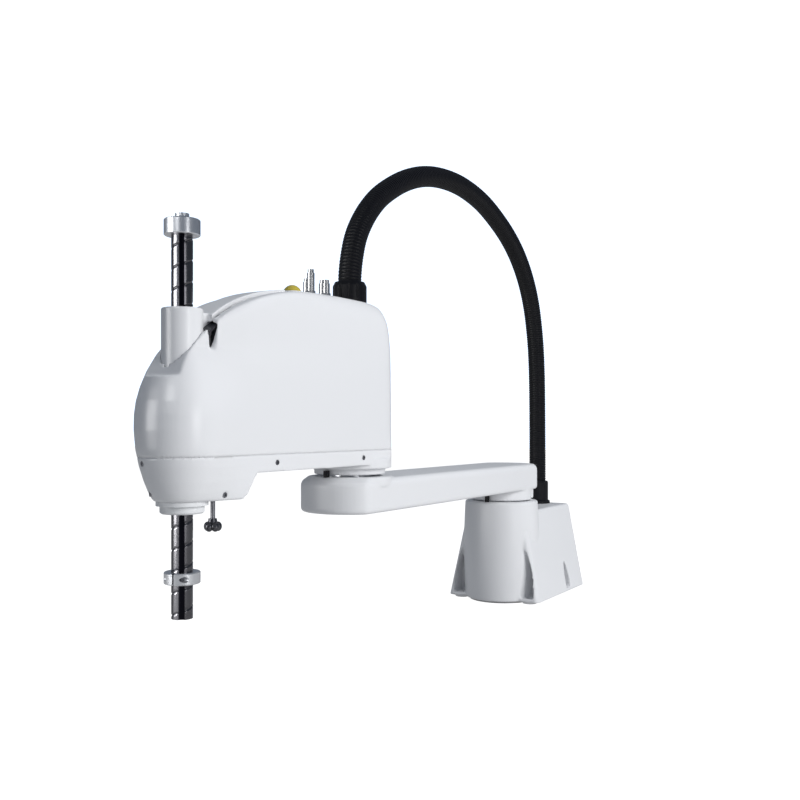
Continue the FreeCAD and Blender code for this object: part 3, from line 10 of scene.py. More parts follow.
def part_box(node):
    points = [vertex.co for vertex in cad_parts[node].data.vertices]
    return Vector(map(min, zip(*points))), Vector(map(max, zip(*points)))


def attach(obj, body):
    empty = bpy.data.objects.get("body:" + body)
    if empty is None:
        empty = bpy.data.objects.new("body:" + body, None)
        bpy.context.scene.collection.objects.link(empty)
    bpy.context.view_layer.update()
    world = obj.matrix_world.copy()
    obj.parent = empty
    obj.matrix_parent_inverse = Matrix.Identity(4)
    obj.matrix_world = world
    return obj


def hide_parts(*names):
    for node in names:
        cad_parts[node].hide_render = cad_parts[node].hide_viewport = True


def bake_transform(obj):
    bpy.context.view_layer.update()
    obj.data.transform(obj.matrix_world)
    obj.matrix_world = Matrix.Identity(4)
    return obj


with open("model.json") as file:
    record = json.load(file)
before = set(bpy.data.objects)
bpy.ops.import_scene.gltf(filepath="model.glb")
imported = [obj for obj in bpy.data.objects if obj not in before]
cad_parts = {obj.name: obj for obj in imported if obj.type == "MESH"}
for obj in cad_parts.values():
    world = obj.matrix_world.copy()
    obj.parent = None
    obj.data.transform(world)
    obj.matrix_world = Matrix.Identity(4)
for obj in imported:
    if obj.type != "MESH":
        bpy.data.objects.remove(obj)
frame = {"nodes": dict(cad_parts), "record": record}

bl_info = {
    "name": "Scara robot",
    "version": (1, 0, 0),
    "blender": (4, 2, 0),
    "location": "3D View > Sidebar > Robot",
    "description": "Dresses the horizontal-arm robot and builds its studio",
    "category": "Add Mesh",
}

# Lengths are in metres, and angles in degrees

# Where the spindle's axis stands along the arm
SPINDLE_X = 0.7
# Height of a row of the spindle's faces, number of columns round it, and its bore as a share of
# its radius
SPINDLE_ROW = 0.0008
SPINDLE_COLUMNS = 120
BORE_SHARE = 0.7

# Straight grooves of the spindle: number, and direction of the first
FLUTE_COUNT = 3
FLUTE_ANGLE = 41.3
# Painted dark reflection in a band beside each straight groove: where it begins and ends, in degrees
# past the groove, and how dark it is painted
PAINTED_REFLECTION_BAND = (16.0, 72.0)
PAINTED_REFLECTION_BAND_DARK = 0.74
# How dark the middle of the ball groove (painted shade) and of a straight groove (painted shade and
# dark reflection) is painted, before it is cut off at 1
BALL_GROOVE_DARK = 0.8
FLUTE_DARK = 2.2
# Angle from which an edge of the spindle or the knob is drawn sharp
SHARP_ANGLE = 60.0

# Centreline of the conduit, from the arm gland over to the base gland, as (x, z)
CONDUIT_LINE = [
    (0.4250, 0.4430), (0.4248, 0.4520), (0.4215, 0.4720), (0.4140, 0.4970), (0.4020, 0.5170),
    (0.3830, 0.5395), (0.3540, 0.5640), (0.2950, 0.5960), (0.2310, 0.6160), (0.1600, 0.6230),
    (0.1000, 0.6185), (0.0470, 0.6070), (-0.0290, 0.5760), (-0.0810, 0.5370), (-0.1180, 0.4860),
    (-0.1380, 0.4200), (-0.1446, 0.3600), (-0.1462, 0.3000), (-0.1468, 0.2400), (-0.1470, 0.2050),
    (-0.1470, 0.1770),
]
# Steps of the spline between two of its points, and how many of those steps one of the path takes
SPLINE_STEPS = 24
# Steps along the hose in one rib, points round it, and how full a rib's outline is
RIB_STEPS = 8
HOSE_SEGMENTS = 40
RIB_FULLNESS = 0.7

# Knob under the nose: number of lobes, share of its radius that a lobe takes, and lobe height
KNOB_LOBES = 5
KNOB_LOBE_SHARE = 0.44
KNOB_LOBE_HEIGHT = 0.0095
# Radius of its hub at the foot and at the top, as shares of the knob's
KNOB_HUB = (0.6, 0.45)
KNOB_SEGMENTS = 32

# Contact pins: connector's node and number of pins, share of the socket's radius where they stand,
# width of the socket's rim, distance of a pin's middle from the socket's rear, radius and length
PIN_ROWS = (("motor_connector", 8), ("signal_connector", 10))
PIN_SHARE = 0.5
SOCKET_RIM = 0.006
PIN_PLACE = 0.004
PIN_RADIUS = 0.0006
PIN_LENGTH = 0.005
PIN_SEGMENTS = 12

# Castings and covers drawn again with soft moulded edges: node, voxel size, rounds of
# smoothing all over, whether its broad sides are smoothed more, and its seam's height
MOULDED = [
    ("base_casting", 0.0016, 4, False, None),
    ("inner_arm_casting", 0.0016, 6, False, None),
    ("outer_arm_pan", 0.0014, 3, False, 0.2450),
    ("outer_arm_cover", 0.0017, 2, True, 0.2449),
    ("spine_cover", 0.0010, 3, False, None),
]
# Points of a casting's mesh that are closer than this are one, and how far a round of smoothing goes
MERGE_DISTANCE = 0.00002
SMOOTH_FACTOR = 0.5
# Broad sides of the cover: distances from the arm's middle plane and heights between which they
# set in, and their rounds of smoothing
BROAD_SIDE = (0.028, 0.036)
BROAD_RISE = (0.250, 0.268)
BROAD_ROUNDS = 80
# Flat part of them, which gets more: heights where it ends, and places along the arm where it
# begins and ends
FLAT_TOP = (0.350, 0.375)
FLAT_REAR = (0.392, 0.425)
FLAT_FRONT = (0.632, 0.660)
FLAT_ROUNDS = 260
# Rim beside the seam that is pressed flat against it
SEAM_RIM = 0.0016

# Skins that follow the cover across its long slot: reach along the arm, columns and rows, length
# of the rays that find the cover, height of their axis, widest ray, and free radius round the spindle
SKIN_REACH = (0.560, 0.690)
SKIN_COLUMNS = 64
SKIN_ROWS = 96
SKIN_RAY = 0.2
SKIN_AXIS_Z = 0.290
SKIN_HALF_ANGLE = 58.0
SKIN_FREE_R = 0.0194
# Floor of the slot, a dark sheet of painted shade, and the shoulders that narrow it: least and greatest
# distance from the arm's middle plane, and distance under the cover
SLOT_FLOOR = (0.0, 0.0215, 0.0100)
SLOT_SHOULDER = (0.0190, 0.0340, 0.0002)
SHOULDER_THICKNESS = 0.0038

# Finish of each material slot: colour, metallic, lowest and highest roughness, grain size,
# relief, clear coat
SURFACES = {
    "casting_white": (None, 0.0, 0.36, 0.46, 900.0, 0.10, 0.15),
    "cover_white": (None, 0.0, 0.29, 0.32, 700.0, 0.03, 0.35),
    "spindle_steel": ((0.46, 0.45, 0.47), 1.0, 0.18, 0.28, 1500.0, 0.05, 0.0),
    "machined_aluminium": ((0.84, 0.85, 0.87), 1.0, 0.26, 0.36, 1200.0, 0.06, 0.0),
    "motor_black": ((0.030, 0.031, 0.040), 0.0, 0.35, 0.5, 700.0, 0.1, 0.0),
    "plate_grey": ((0.42, 0.42, 0.43), 0.0, 0.4, 0.5, 700.0, 0.1, 0.0),
    "nickel": ((0.64, 0.63, 0.62), 1.0, 0.2, 0.3, 900.0, 0.03, 0.0),
    "black_rubber": ((0.006, 0.006, 0.008), 0.0, 0.45, 0.6, 600.0, 0.15, 0.0),
    "black_plastic": ((0.0025, 0.0025, 0.004), 0.0, 0.34, 0.46, 600.0, 0.08, 0.0),
    "white_plastic": ((0.78, 0.79, 0.80), 0.0, 0.4, 0.5, 600.0, 0.04, 0.0),
    "lamp_amber": ((0.50, 0.40, 0.05), 0.0, 0.16, 0.24, 300.0, 0.02, 0.4),
    "screw_steel": ((0.30, 0.30, 0.32), 1.0, 0.3, 0.42, 900.0, 0.05, 0.0),
    "dark_steel": ((0.12, 0.12, 0.13), 1.0, 0.22, 0.34, 900.0, 0.05, 0.0),
}
WHITE_PAINTS = ("casting_white", "cover_white")
# Share of the usual gloss that the black hose and boots keep
DULL_BLACKS = ("black_plastic", "black_rubber")
DULL_GLOSS = 0.28
# Roughness of every clear coat, height of the grain, its detail, and size of the broad unevenness
COAT_ROUGHNESS = 0.25
GRAIN_HEIGHT = 0.0004
GRAIN_DETAIL = 3.0
UNEVENNESS_SCALE = 14.0

# Sockets of a colour mix: its share, its two colours and its result
MIX_SHARE = 0
MIX_COLORS = (6, 7)
MIX_RESULT = 2

# Studio lights: name, place, width, height, power, and whether they light or only show in
# reflections
LAMPS = [
    ("key", (0.45, 2.75, 1.25), 1.5, 1.5, 68.0, True),
    ("overhead", (0.4, -0.2, 2.3), 1.2, 1.2, 14.0, True),
    ("left mirror", (2.53, -1.22, 0.45), 1.1, 1.4, 24.0, False),
    ("right mirror", (1.1, 2.2, 0.4), 0.6, 0.8, 5.0, False),
    ("front mirror", (2.7, 0.4, 1.5), 0.8, 0.8, 8.0, False),
]
# Where they all aim
LAMP_TARGET = (0.35, 0.0, 0.25)

# The floor: half its width, its height, just under the feet, and its roughness
FLOOR_HALF = 8.0
FLOOR_Z = -0.0005
FLOOR_ROUGHNESS = 0.9
# Light that the floor and the surroundings give to the object, and what the camera sees of them
FLOOR_GLOW = (0.17, 0.97)
WORLD_STRENGTH = (0.22, 1.50)
WORLD_COLOR = (0.74, 0.84, 1.0)

# The photograph's camera
CAMERA_PLACE = (1.3173, 0.6125, 0.275)
CAMERA_YAW = 121.3
FOCAL_PIXELS = 909.0
PICTURE_PIXELS = 800.0
HORIZON_DROP_PIXELS = 24.0
SENSOR = 36.0


def length_property(name, description, default):
    return bpy.props.FloatProperty(name=name, description=description, default=default,
                                   min=default / 4, max=default * 2, precision=5,
                                   subtype="DISTANCE", unit="LENGTH")


def color_property(name, description, default):
    return bpy.props.FloatVectorProperty(name=name, description=description, default=default,
                                         size=3, min=0.0, max=1.0, subtype="COLOR")


class RobotLook(bpy.types.PropertyGroup):
    """Sizes and colours that the pieces are drawn with."""
    rib_depth: length_property("Rib depth", "How deep the hose is between two ribs", 0.0008)
    rib_pitch: length_property("Rib pitch", "Distance from rib to rib along the hose", 0.0040)
    conduit_radius: length_property("Conduit radius", "Outer radius of the hose", 0.014)
    screw_lead: length_property("Screw lead", "Rise of the ball groove in one turn", 0.020)
    groove_half: length_property("Ball groove half width", "Half the ball groove's width", 0.0012)
    groove_depth: length_property("Ball groove depth", "How deep the ball groove is", 0.0007)
    flute_half: length_property("Straight groove half width", "Half a straight groove's width", 0.0032)
    flute_depth: length_property("Straight groove depth", "How deep a straight groove is", 0.0016)
    white_paint: color_property("White paint", "Colour of castings and covers", (0.80, 0.805, 0.82))
    # Colour painted in the spindle's grooves as shade
    painted_groove_shade: color_property("Painted groove shade", "Colour in the spindle's grooves", (0.01, 0.01, 0.015))
    floor_white: color_property("Floor", "Colour that the floor gives back", (0.4, 0.4, 0.4))


def look():
    return bpy.context.scene.robot_look


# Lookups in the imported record


def body_of_node(name):
    """Body that carries a node."""
    for body, nodes in frame["record"]["behaviour"]["bodies"].items():
        if name in nodes:
            return body
    raise RuntimeError("no body carries " + name)


def slot_of_node(name):
    """Material slot of a node."""
    for part in frame["record"]["subparts"]:
        if part["node"] == name:
            return part["material_slot"]
    raise RuntimeError("no material slot for " + name)


# Helpers for meshes


def new_piece(name, mesh):
    piece = bpy.data.objects.new(name, mesh)
    bpy.context.scene.collection.objects.link(piece)
    return piece


def mesh_from(shape, name):
    mesh = bpy.data.meshes.new(name)
    shape.to_mesh(mesh)
    shape.free()
    return mesh


def shade_smooth(mesh):
    for face in mesh.polygons:
        face.use_smooth = True


def apply_modifiers(piece):
    """Replace a piece's mesh by its evaluated one and drop the modifiers."""
    graph = bpy.context.evaluated_depsgraph_get()
    mesh = bpy.data.meshes.new_from_object(piece.evaluated_get(graph))
    piece.modifiers.clear()
    piece.data = mesh


def sharpen_edges(piece):
    split = piece.modifiers.new("Edges", "EDGE_SPLIT")
    split.split_angle = math.radians(SHARP_ANGLE)


def dress(piece, slot, body, *nodes):
    """Give a piece its finish and its body, and hide the nodes it stands for."""
    piece.data.materials.append(finish_of(slot))
    if body:
        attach(piece, body)
    if nodes:
        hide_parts(*nodes)


def ramp(value, low, high):
    """0 below low, 1 above high, and straight between."""
    return min(1.0, max(0.0, (value - low) / (high - low)))


# Finishes


def effect(name, inputs, outputs):
    """Empty node group with named number inputs and outputs."""
    tree = bpy.data.node_groups.new(name, "ShaderNodeTree")
    for label, value in inputs:
        socket = tree.interface.new_socket(name=label, in_out="INPUT", socket_type="NodeSocketFloat")
        socket.default_value = value
    for label in outputs:
        tree.interface.new_socket(name=label, in_out="OUTPUT", socket_type="NodeSocketFloat")
    return tree, tree.nodes.new("NodeGroupInput"), tree.nodes.new("NodeGroupOutput")


def grain_effect():
    """Fine grain and broad unevenness of a surface."""
    found = bpy.data.node_groups.get("Surface grain")
    if found:
        return found
    inputs = [("Scale", 400.0), ("Low", 0.3), ("High", 0.4)]
    tree, given, made = effect("Surface grain", inputs, ["Roughness", "Height"])
    place = tree.nodes.new("ShaderNodeTexCoord")
    fine = tree.nodes.new("ShaderNodeTexNoise")
    fine.inputs["Detail"].default_value = GRAIN_DETAIL
    broad = tree.nodes.new("ShaderNodeTexNoise")
    broad.inputs["Scale"].default_value = UNEVENNESS_SCALE
    spread = tree.nodes.new("ShaderNodeMapRange")
    tree.links.new(place.outputs["Object"], fine.inputs["Vector"])
    tree.links.new(place.outputs["Object"], broad.inputs["Vector"])
    tree.links.new(given.outputs["Scale"], fine.inputs["Scale"])
    tree.links.new(broad.outputs["Fac"], spread.inputs["Value"])
    tree.links.new(given.outputs["Low"], spread.inputs["To Min"])
    tree.links.new(given.outputs["High"], spread.inputs["To Max"])
    tree.links.new(spread.outputs["Result"], made.inputs["Roughness"])
    tree.links.new(fine.outputs["Fac"], made.inputs["Height"])
    return tree


def surface(name, color, metallic, low, high, scale, relief, coat):
    """Material with one colour, uneven roughness and a fine grain."""
    made = bpy.data.materials.new(name)
    made.use_nodes = True
    nodes, links = made.node_tree.nodes, made.node_tree.links
    shader = nodes["Principled BSDF"]
    shader.inputs["Base Color"].default_value = (*color, 1.0)
    shader.inputs["Metallic"].default_value = metallic
    shader.inputs["Coat Weight"].default_value = coat
    shader.inputs["Coat Roughness"].default_value = COAT_ROUGHNESS
    if name.endswith(DULL_BLACKS):
        shader.inputs["Specular IOR Level"].default_value = DULL_GLOSS
    grain = nodes.new("ShaderNodeGroup")
    grain.node_tree = grain_effect()
    grain.inputs["Scale"].default_value = scale
    grain.inputs["Low"].default_value = low
    grain.inputs["High"].default_value = high
    links.new(grain.outputs["Roughness"], shader.inputs["Roughness"])
    bump = nodes.new("ShaderNodeBump")
    bump.inputs["Strength"].default_value = relief
    bump.inputs["Distance"].default_value = GRAIN_HEIGHT
    links.new(grain.outputs["Height"], bump.inputs["Height"])
    links.new(bump.outputs["Normal"], shader.inputs["Normal"])
    return made


def finish_of(slot):
    """Material of a slot, made the first time it is asked for."""
    found = bpy.data.materials.get("finish " + slot)
    if found:
        return found
    color, *rest = SURFACES[slot]
    if slot in WHITE_PAINTS:
        color = look().white_paint
    return surface("finish " + slot, color, *rest)


def grooved_steel():
    """Ground steel with painted shade and dark reflection in and beside its grooves, by the mesh's own
    groove values.
    """
    color, *rest = SURFACES["spindle_steel"]
    made = surface("finish grooved steel", color, *rest)
    nodes, links = made.node_tree.nodes, made.node_tree.links
    shader = nodes["Principled BSDF"]
    groove = nodes.new("ShaderNodeAttribute")
    groove.attribute_name = "groove"
    blend = nodes.new("ShaderNodeMix")
    blend.data_type = "RGBA"
    for socket, shade in zip(MIX_COLORS, (color, look().painted_groove_shade)):
        blend.inputs[socket].default_value = (*shade, 1.0)
    links.new(groove.outputs["Fac"], blend.inputs[MIX_SHARE])
    links.new(blend.outputs[MIX_RESULT], shader.inputs["Base Color"])
    return made


# Pieces


def smooth_where(piece, name, rounds, weight_of):
    """Smooth a piece more where a weight says so."""
    group = piece.vertex_groups.new(name=name)
    for vert in piece.data.vertices:
        weight = weight_of(vert.co)
        if weight > 0.0:
            group.add([vert.index], weight, "REPLACE")
    soften = piece.modifiers.new(name, "SMOOTH")
    soften.factor = SMOOTH_FACTOR
    soften.iterations = rounds
    soften.vertex_group = name


def broad_weight(place):
    return ramp(place.z, *BROAD_RISE) * ramp(abs(place.y), *BROAD_SIDE)


def flat_weight(place):
    along = ramp(place.x, *FLAT_REAR) * (1.0 - ramp(place.x, *FLAT_FRONT))
    return broad_weight(place) * along * (1.0 - ramp(place.z, *FLAT_TOP))


def press_seam(piece, seam):
    """Lay the rim beside a seam flat against the seam's height."""
    for vert in piece.data.vertices:
        if abs(vert.co.z - seam) < SEAM_RIM:
            vert.co.z = seam


def moulded_piece(node, voxel, rounds, broad, seam):
    """Copy of a casting, closed up, with its sharp edges rounded like a moulding."""
    shape = bmesh.new()
    shape.from_mesh(frame["nodes"][node].data)
    bmesh.ops.remove_doubles(shape, verts=shape.verts, dist=MERGE_DISTANCE)
    if broad:
        add_slot_shoulders(shape)
    piece = new_piece("moulded_" + node, mesh_from(shape, "moulded_" + node))
    remesh = piece.modifiers.new("Close", "REMESH")
    remesh.mode = "VOXEL"
    remesh.voxel_size = voxel
    apply_modifiers(piece)
    soften = piece.modifiers.new("Soften", "SMOOTH")
    soften.factor = SMOOTH_FACTOR
    soften.iterations = rounds
    if broad:
        smooth_where(piece, "broad sides", BROAD_ROUNDS, broad_weight)
        smooth_where(piece, "flat sides", FLAT_ROUNDS, flat_weight)
    apply_modifiers(piece)
    piece.vertex_groups.clear()
    if seam:
        press_seam(piece, seam)
    shade_smooth(piece.data)
    piece.data.materials.clear()
    dress(piece, slot_of_node(node), body_of_node(node), node)


def skin_radii(tree, x, rays):
    """Distance from the skin's axis to the cover along each ray, bridged over the slot."""
    origin = Vector((x, 0.0, SKIN_AXIS_Z))
    found = []
    for i, angle in enumerate(rays):
        direction = Vector((0.0, math.sin(angle), math.cos(angle)))
        place, _, _, distance = tree.ray_cast(origin + direction * SKIN_RAY, -direction)
        if place and distance < SKIN_RAY:
            found.append((i, SKIN_RAY - distance))
    radii = []
    for i in range(len(rays)):
        before = max((f for f in found if f[0] <= i), default=found[0])
        after = min((f for f in found if f[0] >= i), default=found[-1])
        share = (i - before[0]) / (after[0] - before[0]) if after[0] > before[0] else 0.0
        radii.append(before[1] + (after[1] - before[1]) * share)
    return radii


def cover_skin(least, greatest, drop):
    """Skin under the cover and across its slot, between two distances from the middle plane."""
    graph = bpy.context.evaluated_depsgraph_get()
    tree = BVHTree.FromObject(frame["nodes"]["outer_arm_cover"], graph)
    half = math.radians(SKIN_HALF_ANGLE)
    rays = [half * (2.0 * j / SKIN_ROWS - 1.0) for j in range(SKIN_ROWS + 1)]
    low, high = SKIN_REACH
    shape = bmesh.new()
    bmesh.ops.create_grid(shape, x_segments=SKIN_COLUMNS, y_segments=SKIN_ROWS, size=1.0)
    table = {}
    for vert in shape.verts:
        i = round((vert.co.x + 1.0) / 2.0 * SKIN_COLUMNS)
        j = round((vert.co.y + 1.0) / 2.0 * SKIN_ROWS)
        x = low + (high - low) * i / SKIN_COLUMNS
        if i not in table:
            table[i] = skin_radii(tree, x, rays)
        reach = table[i][j] - drop
        vert.co = (x, reach * math.sin(rays[j]), SKIN_AXIS_Z + reach * math.cos(rays[j]))
    outside = [v for v in shape.verts if not least <= abs(v.co.y) <= greatest
               or math.hypot(v.co.x - SPINDLE_X, v.co.y) < SKIN_FREE_R]
    bmesh.ops.delete(shape, geom=outside, context="VERTS")
    return shape


def slot_floor():
    """Dark inner skin, painted shade, that is seen through the long slot beside the raised strip."""
    mesh = mesh_from(cover_skin(*SLOT_FLOOR), "slot_floor")
    shade_smooth(mesh)
    # The black finish on the slot's floor is painted shade
    dress(new_piece("slot_floor", mesh), "motor_black", "outer_arm")


def add_slot_shoulders(shape):
    """Narrow the slot of a cover's copy to the strip's width and a gap."""
    shoulder = cover_skin(*SLOT_SHOULDER)
    bmesh.ops.recalc_face_normals(shoulder, faces=shoulder.faces)
    upward = sum(face.normal.z for face in shoulder.faces) > 0.0
    thickness = SHOULDER_THICKNESS if upward else -SHOULDER_THICKNESS
    bmesh.ops.solidify(shoulder, geom=shoulder.faces, thickness=thickness)
    mesh = mesh_from(shoulder, "slot_shoulders")
    shape.from_mesh(mesh)


def groove_at(angle, height, radius):
    """Depth of the spindle's grooves at one place, and how dark the painted shade and dark reflection
    are there.
    """
    size = look()
    turn = (angle / (2 * math.pi) - height / size.screw_lead) % 1.0
    helix = min(turn, 1.0 - turn) * size.screw_lead
    straight = radius * math.pi
    for i in range(FLUTE_COUNT):
        offset = (angle - math.radians(FLUTE_ANGLE + 360.0 * i / FLUTE_COUNT)) % (2 * math.pi)
        straight = min(straight, radius * min(offset, 2 * math.pi - offset))
    beside = math.degrees(angle) - FLUTE_ANGLE
    beside %= 360.0 / FLUTE_COUNT
    depth, dark = 0.0, 0.0
    # Painted dark reflection: a fixed band beside each straight groove is darkened in colour
    if PAINTED_REFLECTION_BAND[0] < beside < PAINTED_REFLECTION_BAND[1]:
        dark = PAINTED_REFLECTION_BAND_DARK
    # Painted shade in the ball groove, and painted shade and dark reflection in the straight grooves
    if helix < size.groove_half:
        share = math.sqrt(1.0 - (helix / size.groove_half) ** 2)
        depth, dark = size.groove_depth * share, max(dark, BALL_GROOVE_DARK * share)
    if straight < size.flute_half:
        share = math.sqrt(1.0 - (straight / size.flute_half) ** 2)
        depth, dark = max(depth, size.flute_depth * share), max(dark, min(1.0, FLUTE_DARK * share))
    return depth, dark


def spindle():
    """Ball-screw spline shaft: a turned body with its grooves pressed in."""
    low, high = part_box("spindle_shaft")
    radius = (high.x - low.x) / 2
    bore = BORE_SHARE * radius
    rows = int((high.z - low.z) / SPINDLE_ROW)
    heights = [low.z + (high.z - low.z) * i / rows for i in range(rows + 1)]
    outline = [(SPINDLE_X + bore, high.z), (SPINDLE_X + bore, low.z)]
    outline += [(SPINDLE_X + radius, z) for z in heights]
    shape = bmesh.new()
    turned = [shape.verts.new((x, 0.0, z)) for x, z in outline]
    edges = [shape.edges.new(pair) for pair in zip(turned, turned[1:])]
    edges.append(shape.edges.new((turned[-1], turned[0])))
    bmesh.ops.spin(shape, geom=turned + edges, cent=(SPINDLE_X, 0.0, 0.0), axis=(0.0, 0.0, 1.0),
                   angle=2 * math.pi, steps=SPINDLE_COLUMNS, use_merge=True)
    # Share of painted shade and dark reflection at each point, for the steel's colour mix
    groove = shape.verts.layers.float.new("groove")
    for vert in shape.verts:
        x, y = vert.co.x - SPINDLE_X, vert.co.y
        if math.hypot(x, y) > (bore + radius) / 2:
            angle = math.atan2(y, x)
            depth, dark = groove_at(angle, vert.co.z, radius)
            vert.co.x = SPINDLE_X + (radius - depth) * math.cos(angle)
            vert.co.y = (radius - depth) * math.sin(angle)
            vert[groove] = dark
    bmesh.ops.recalc_face_normals(shape, faces=shape.faces)
    mesh = mesh_from(shape, "grooved_spindle")
    shade_smooth(mesh)
    piece = new_piece("grooved_spindle", mesh)
    sharpen_edges(piece)
    mesh.materials.append(grooved_steel())
    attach(piece, "spindle")
    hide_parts("spindle_shaft")


def conduit_points():
    """Points close together along the conduit's spline, in metres."""
    curve = bpy.data.curves.new("Conduit line", "CURVE")
    curve.dimensions = "3D"
    curve.resolution_u = SPLINE_STEPS
    spline = curve.splines.new("NURBS")
    spline.points.add(len(CONDUIT_LINE) - 1)
    for point, (x, z) in zip(spline.points, CONDUIT_LINE):
        point.co = (x, 0.0, z, 1.0)
    spline.order_u = 3
    spline.use_endpoint_u = True
    holder = bpy.data.objects.new("Conduit line", curve)
    bpy.context.scene.collection.objects.link(holder)
    graph = bpy.context.evaluated_depsgraph_get()
    mesh = bpy.data.meshes.new_from_object(holder.evaluated_get(graph))
    points = [v.co.copy() for v in mesh.vertices]
    bpy.data.objects.remove(holder)
    return points


def line_length(points):
    return sum((b - a).length for a, b in zip(points, points[1:]))


def places_along(points, distances):
    """Place and direction at each distance from the start of the line."""
    places = []
    walked, i = 0.0, 0
    for distance in distances:
        while i < len(points) - 2 and walked + (points[i + 1] - points[i]).length < distance:
            walked += (points[i + 1] - points[i]).length
            i += 1
        direction = (points[i + 1] - points[i]).normalized()
        places.append((points[i] + direction * (distance - walked), direction))
    return places


def conduit():
    """Corrugated hose along the spline, with rounded ribs."""
    size = look()
    points = conduit_points()
    length = line_length(points)
    rings = RIB_STEPS * int(length / size.rib_pitch)
    distances = [length * i / rings for i in range(rings + 1)]
    shape = bmesh.new()
    before = None
    for i, (place, direction) in enumerate(places_along(points, distances)):
        swell = abs(math.cos(math.pi * i / RIB_STEPS)) ** RIB_FULLNESS
        radius = size.conduit_radius - size.rib_depth * (1.0 - swell)
        turned = direction.to_track_quat("Z", "Y").to_matrix().to_4x4()
        made = bmesh.ops.create_circle(shape, segments=HOSE_SEGMENTS, radius=radius,
                                       matrix=Matrix.Translation(place) @ turned)
        edges = list({e for v in made["verts"] for e in v.link_edges})
        if before:
            bmesh.ops.bridge_loops(shape, edges=before + edges)
        before = edges
    mesh = mesh_from(shape, "conduit_hose")
    shade_smooth(mesh)
    piece = new_piece("conduit_hose", mesh)
    dress(piece, "black_plastic", None, "cable_conduit")
    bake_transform(piece)


def star_knob():
    """Five-lobed knob with round lobes about a hub."""
    low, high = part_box("star_knob")
    middle_x, half = (low.x + high.x) / 2, (high.x - low.x) / 2
    lobe = KNOB_LOBE_SHARE * half
    lobe_z = low.z + KNOB_LOBE_HEIGHT / 2
    shape = bmesh.new()
    squash = Matrix.Diagonal((1.0, 1.0, KNOB_LOBE_HEIGHT / (2 * lobe), 1.0))
    for i in range(KNOB_LOBES):
        angle = 2 * math.pi * i / KNOB_LOBES
        place = (middle_x + (half - lobe) * math.cos(angle), (half - lobe) * math.sin(angle), lobe_z)
        bmesh.ops.create_uvsphere(shape, u_segments=KNOB_SEGMENTS, v_segments=KNOB_SEGMENTS // 2,
                                  radius=lobe, matrix=Matrix.Translation(place) @ squash)
    hub_low = low.z + KNOB_LOBE_HEIGHT / 4
    place = Matrix.Translation((middle_x, 0.0, (hub_low + high.z) / 2))
    foot, top = KNOB_HUB
    bmesh.ops.create_cone(shape, cap_ends=True, segments=KNOB_SEGMENTS, radius1=foot * half,
                          radius2=top * half, depth=high.z - hub_low, matrix=place)
    mesh = mesh_from(shape, "lobed_knob")
    shade_smooth(mesh)
    piece = new_piece("lobed_knob", mesh)
    sharpen_edges(piece)
    mesh.materials.append(finish_of("dark_steel"))
    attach(piece, "knob")
    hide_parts("star_knob")


def connector_pins():
    """Contact pins in the two round sockets on the base's rear."""
    for node, count in PIN_ROWS:
        low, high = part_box(node)
        middle_y, middle_z = (low.y + high.y) / 2, (low.z + high.z) / 2
        reach = PIN_SHARE * ((high.z - low.z) / 2 - SOCKET_RIM)
        shape = bmesh.new()
        for i in range(count):
            angle = 2 * math.pi * i / count
            y, z = middle_y + reach * math.cos(angle), middle_z + reach * math.sin(angle)
            quarter = Matrix.Rotation(math.radians(90.0), 4, "Y")
            turned = Matrix.Translation((low.x + PIN_PLACE, y, z)) @ quarter
            bmesh.ops.create_cone(shape, cap_ends=True, segments=PIN_SEGMENTS, radius1=PIN_RADIUS,
                                  radius2=PIN_RADIUS, depth=PIN_LENGTH, matrix=turned)
        piece = new_piece("pins_" + node, mesh_from(shape, "pins_" + node))
        dress(piece, "nickel", "base")


# Studio


def studio_floor():
    """Floor that lights the object softly and that the camera itself sees as white."""
    shape = bmesh.new()
    bmesh.ops.create_grid(shape, x_segments=1, y_segments=1, size=FLOOR_HALF)
    floor = new_piece("studio_floor", mesh_from(shape, "studio_floor"))
    floor.location = (0.0, 0.0, FLOOR_Z)
    made = bpy.data.materials.new("studio floor")
    made.use_nodes = True
    shader = made.node_tree.nodes["Principled BSDF"]
    shader.inputs["Base Color"].default_value = (*look().floor_white, 1.0)
    shader.inputs["Roughness"].default_value = FLOOR_ROUGHNESS
    shader.inputs["Specular IOR Level"].default_value = 0.0
    shader.inputs["Emission Strength"].default_value = 1.0
    links = made.node_tree.links
    rays = made.node_tree.nodes.new("ShaderNodeLightPath")
    glow = made.node_tree.nodes.new("ShaderNodeMapRange")
    glow.inputs["To Min"].default_value, glow.inputs["To Max"].default_value = FLOOR_GLOW
    links.new(rays.outputs["Is Camera Ray"], glow.inputs["Value"])
    links.new(glow.outputs["Result"], shader.inputs["Emission Color"])
    floor.data.materials.append(made)


def studio_world():
    """Cool soft surroundings that the camera itself sees as white."""
    world = bpy.data.worlds.new("Studio")
    world.use_nodes = True
    nodes, links = world.node_tree.nodes, world.node_tree.links
    back = nodes["Background"]
    rays = nodes.new("ShaderNodeLightPath")
    strength = nodes.new("ShaderNodeMapRange")
    strength.inputs["To Min"].default_value, strength.inputs["To Max"].default_value = WORLD_STRENGTH
    links.new(rays.outputs["Is Camera Ray"], strength.inputs["Value"])
    links.new(strength.outputs["Result"], back.inputs["Strength"])
    back.inputs["Color"].default_value = (*WORLD_COLOR, 1.0)
    bpy.context.scene.world = world


def aim(holder, place, target):
    holder.location = place
    holder.rotation_euler = (Vector(target) - Vector(place)).to_track_quat("-Z", "Y").to_euler()


def studio_lights():
    for name, place, width, height, power, lights in LAMPS:
        lamp = bpy.data.lights.new("studio " + name, "AREA")
        lamp.shape = "RECTANGLE"
        lamp.size = width
        lamp.size_y = height
        lamp.energy = power
        holder = bpy.data.objects.new("studio_" + name, lamp)
        bpy.context.scene.collection.objects.link(holder)
        holder.visible_diffuse = lights
        holder.visible_glossy = not lights
        aim(holder, place, LAMP_TARGET)


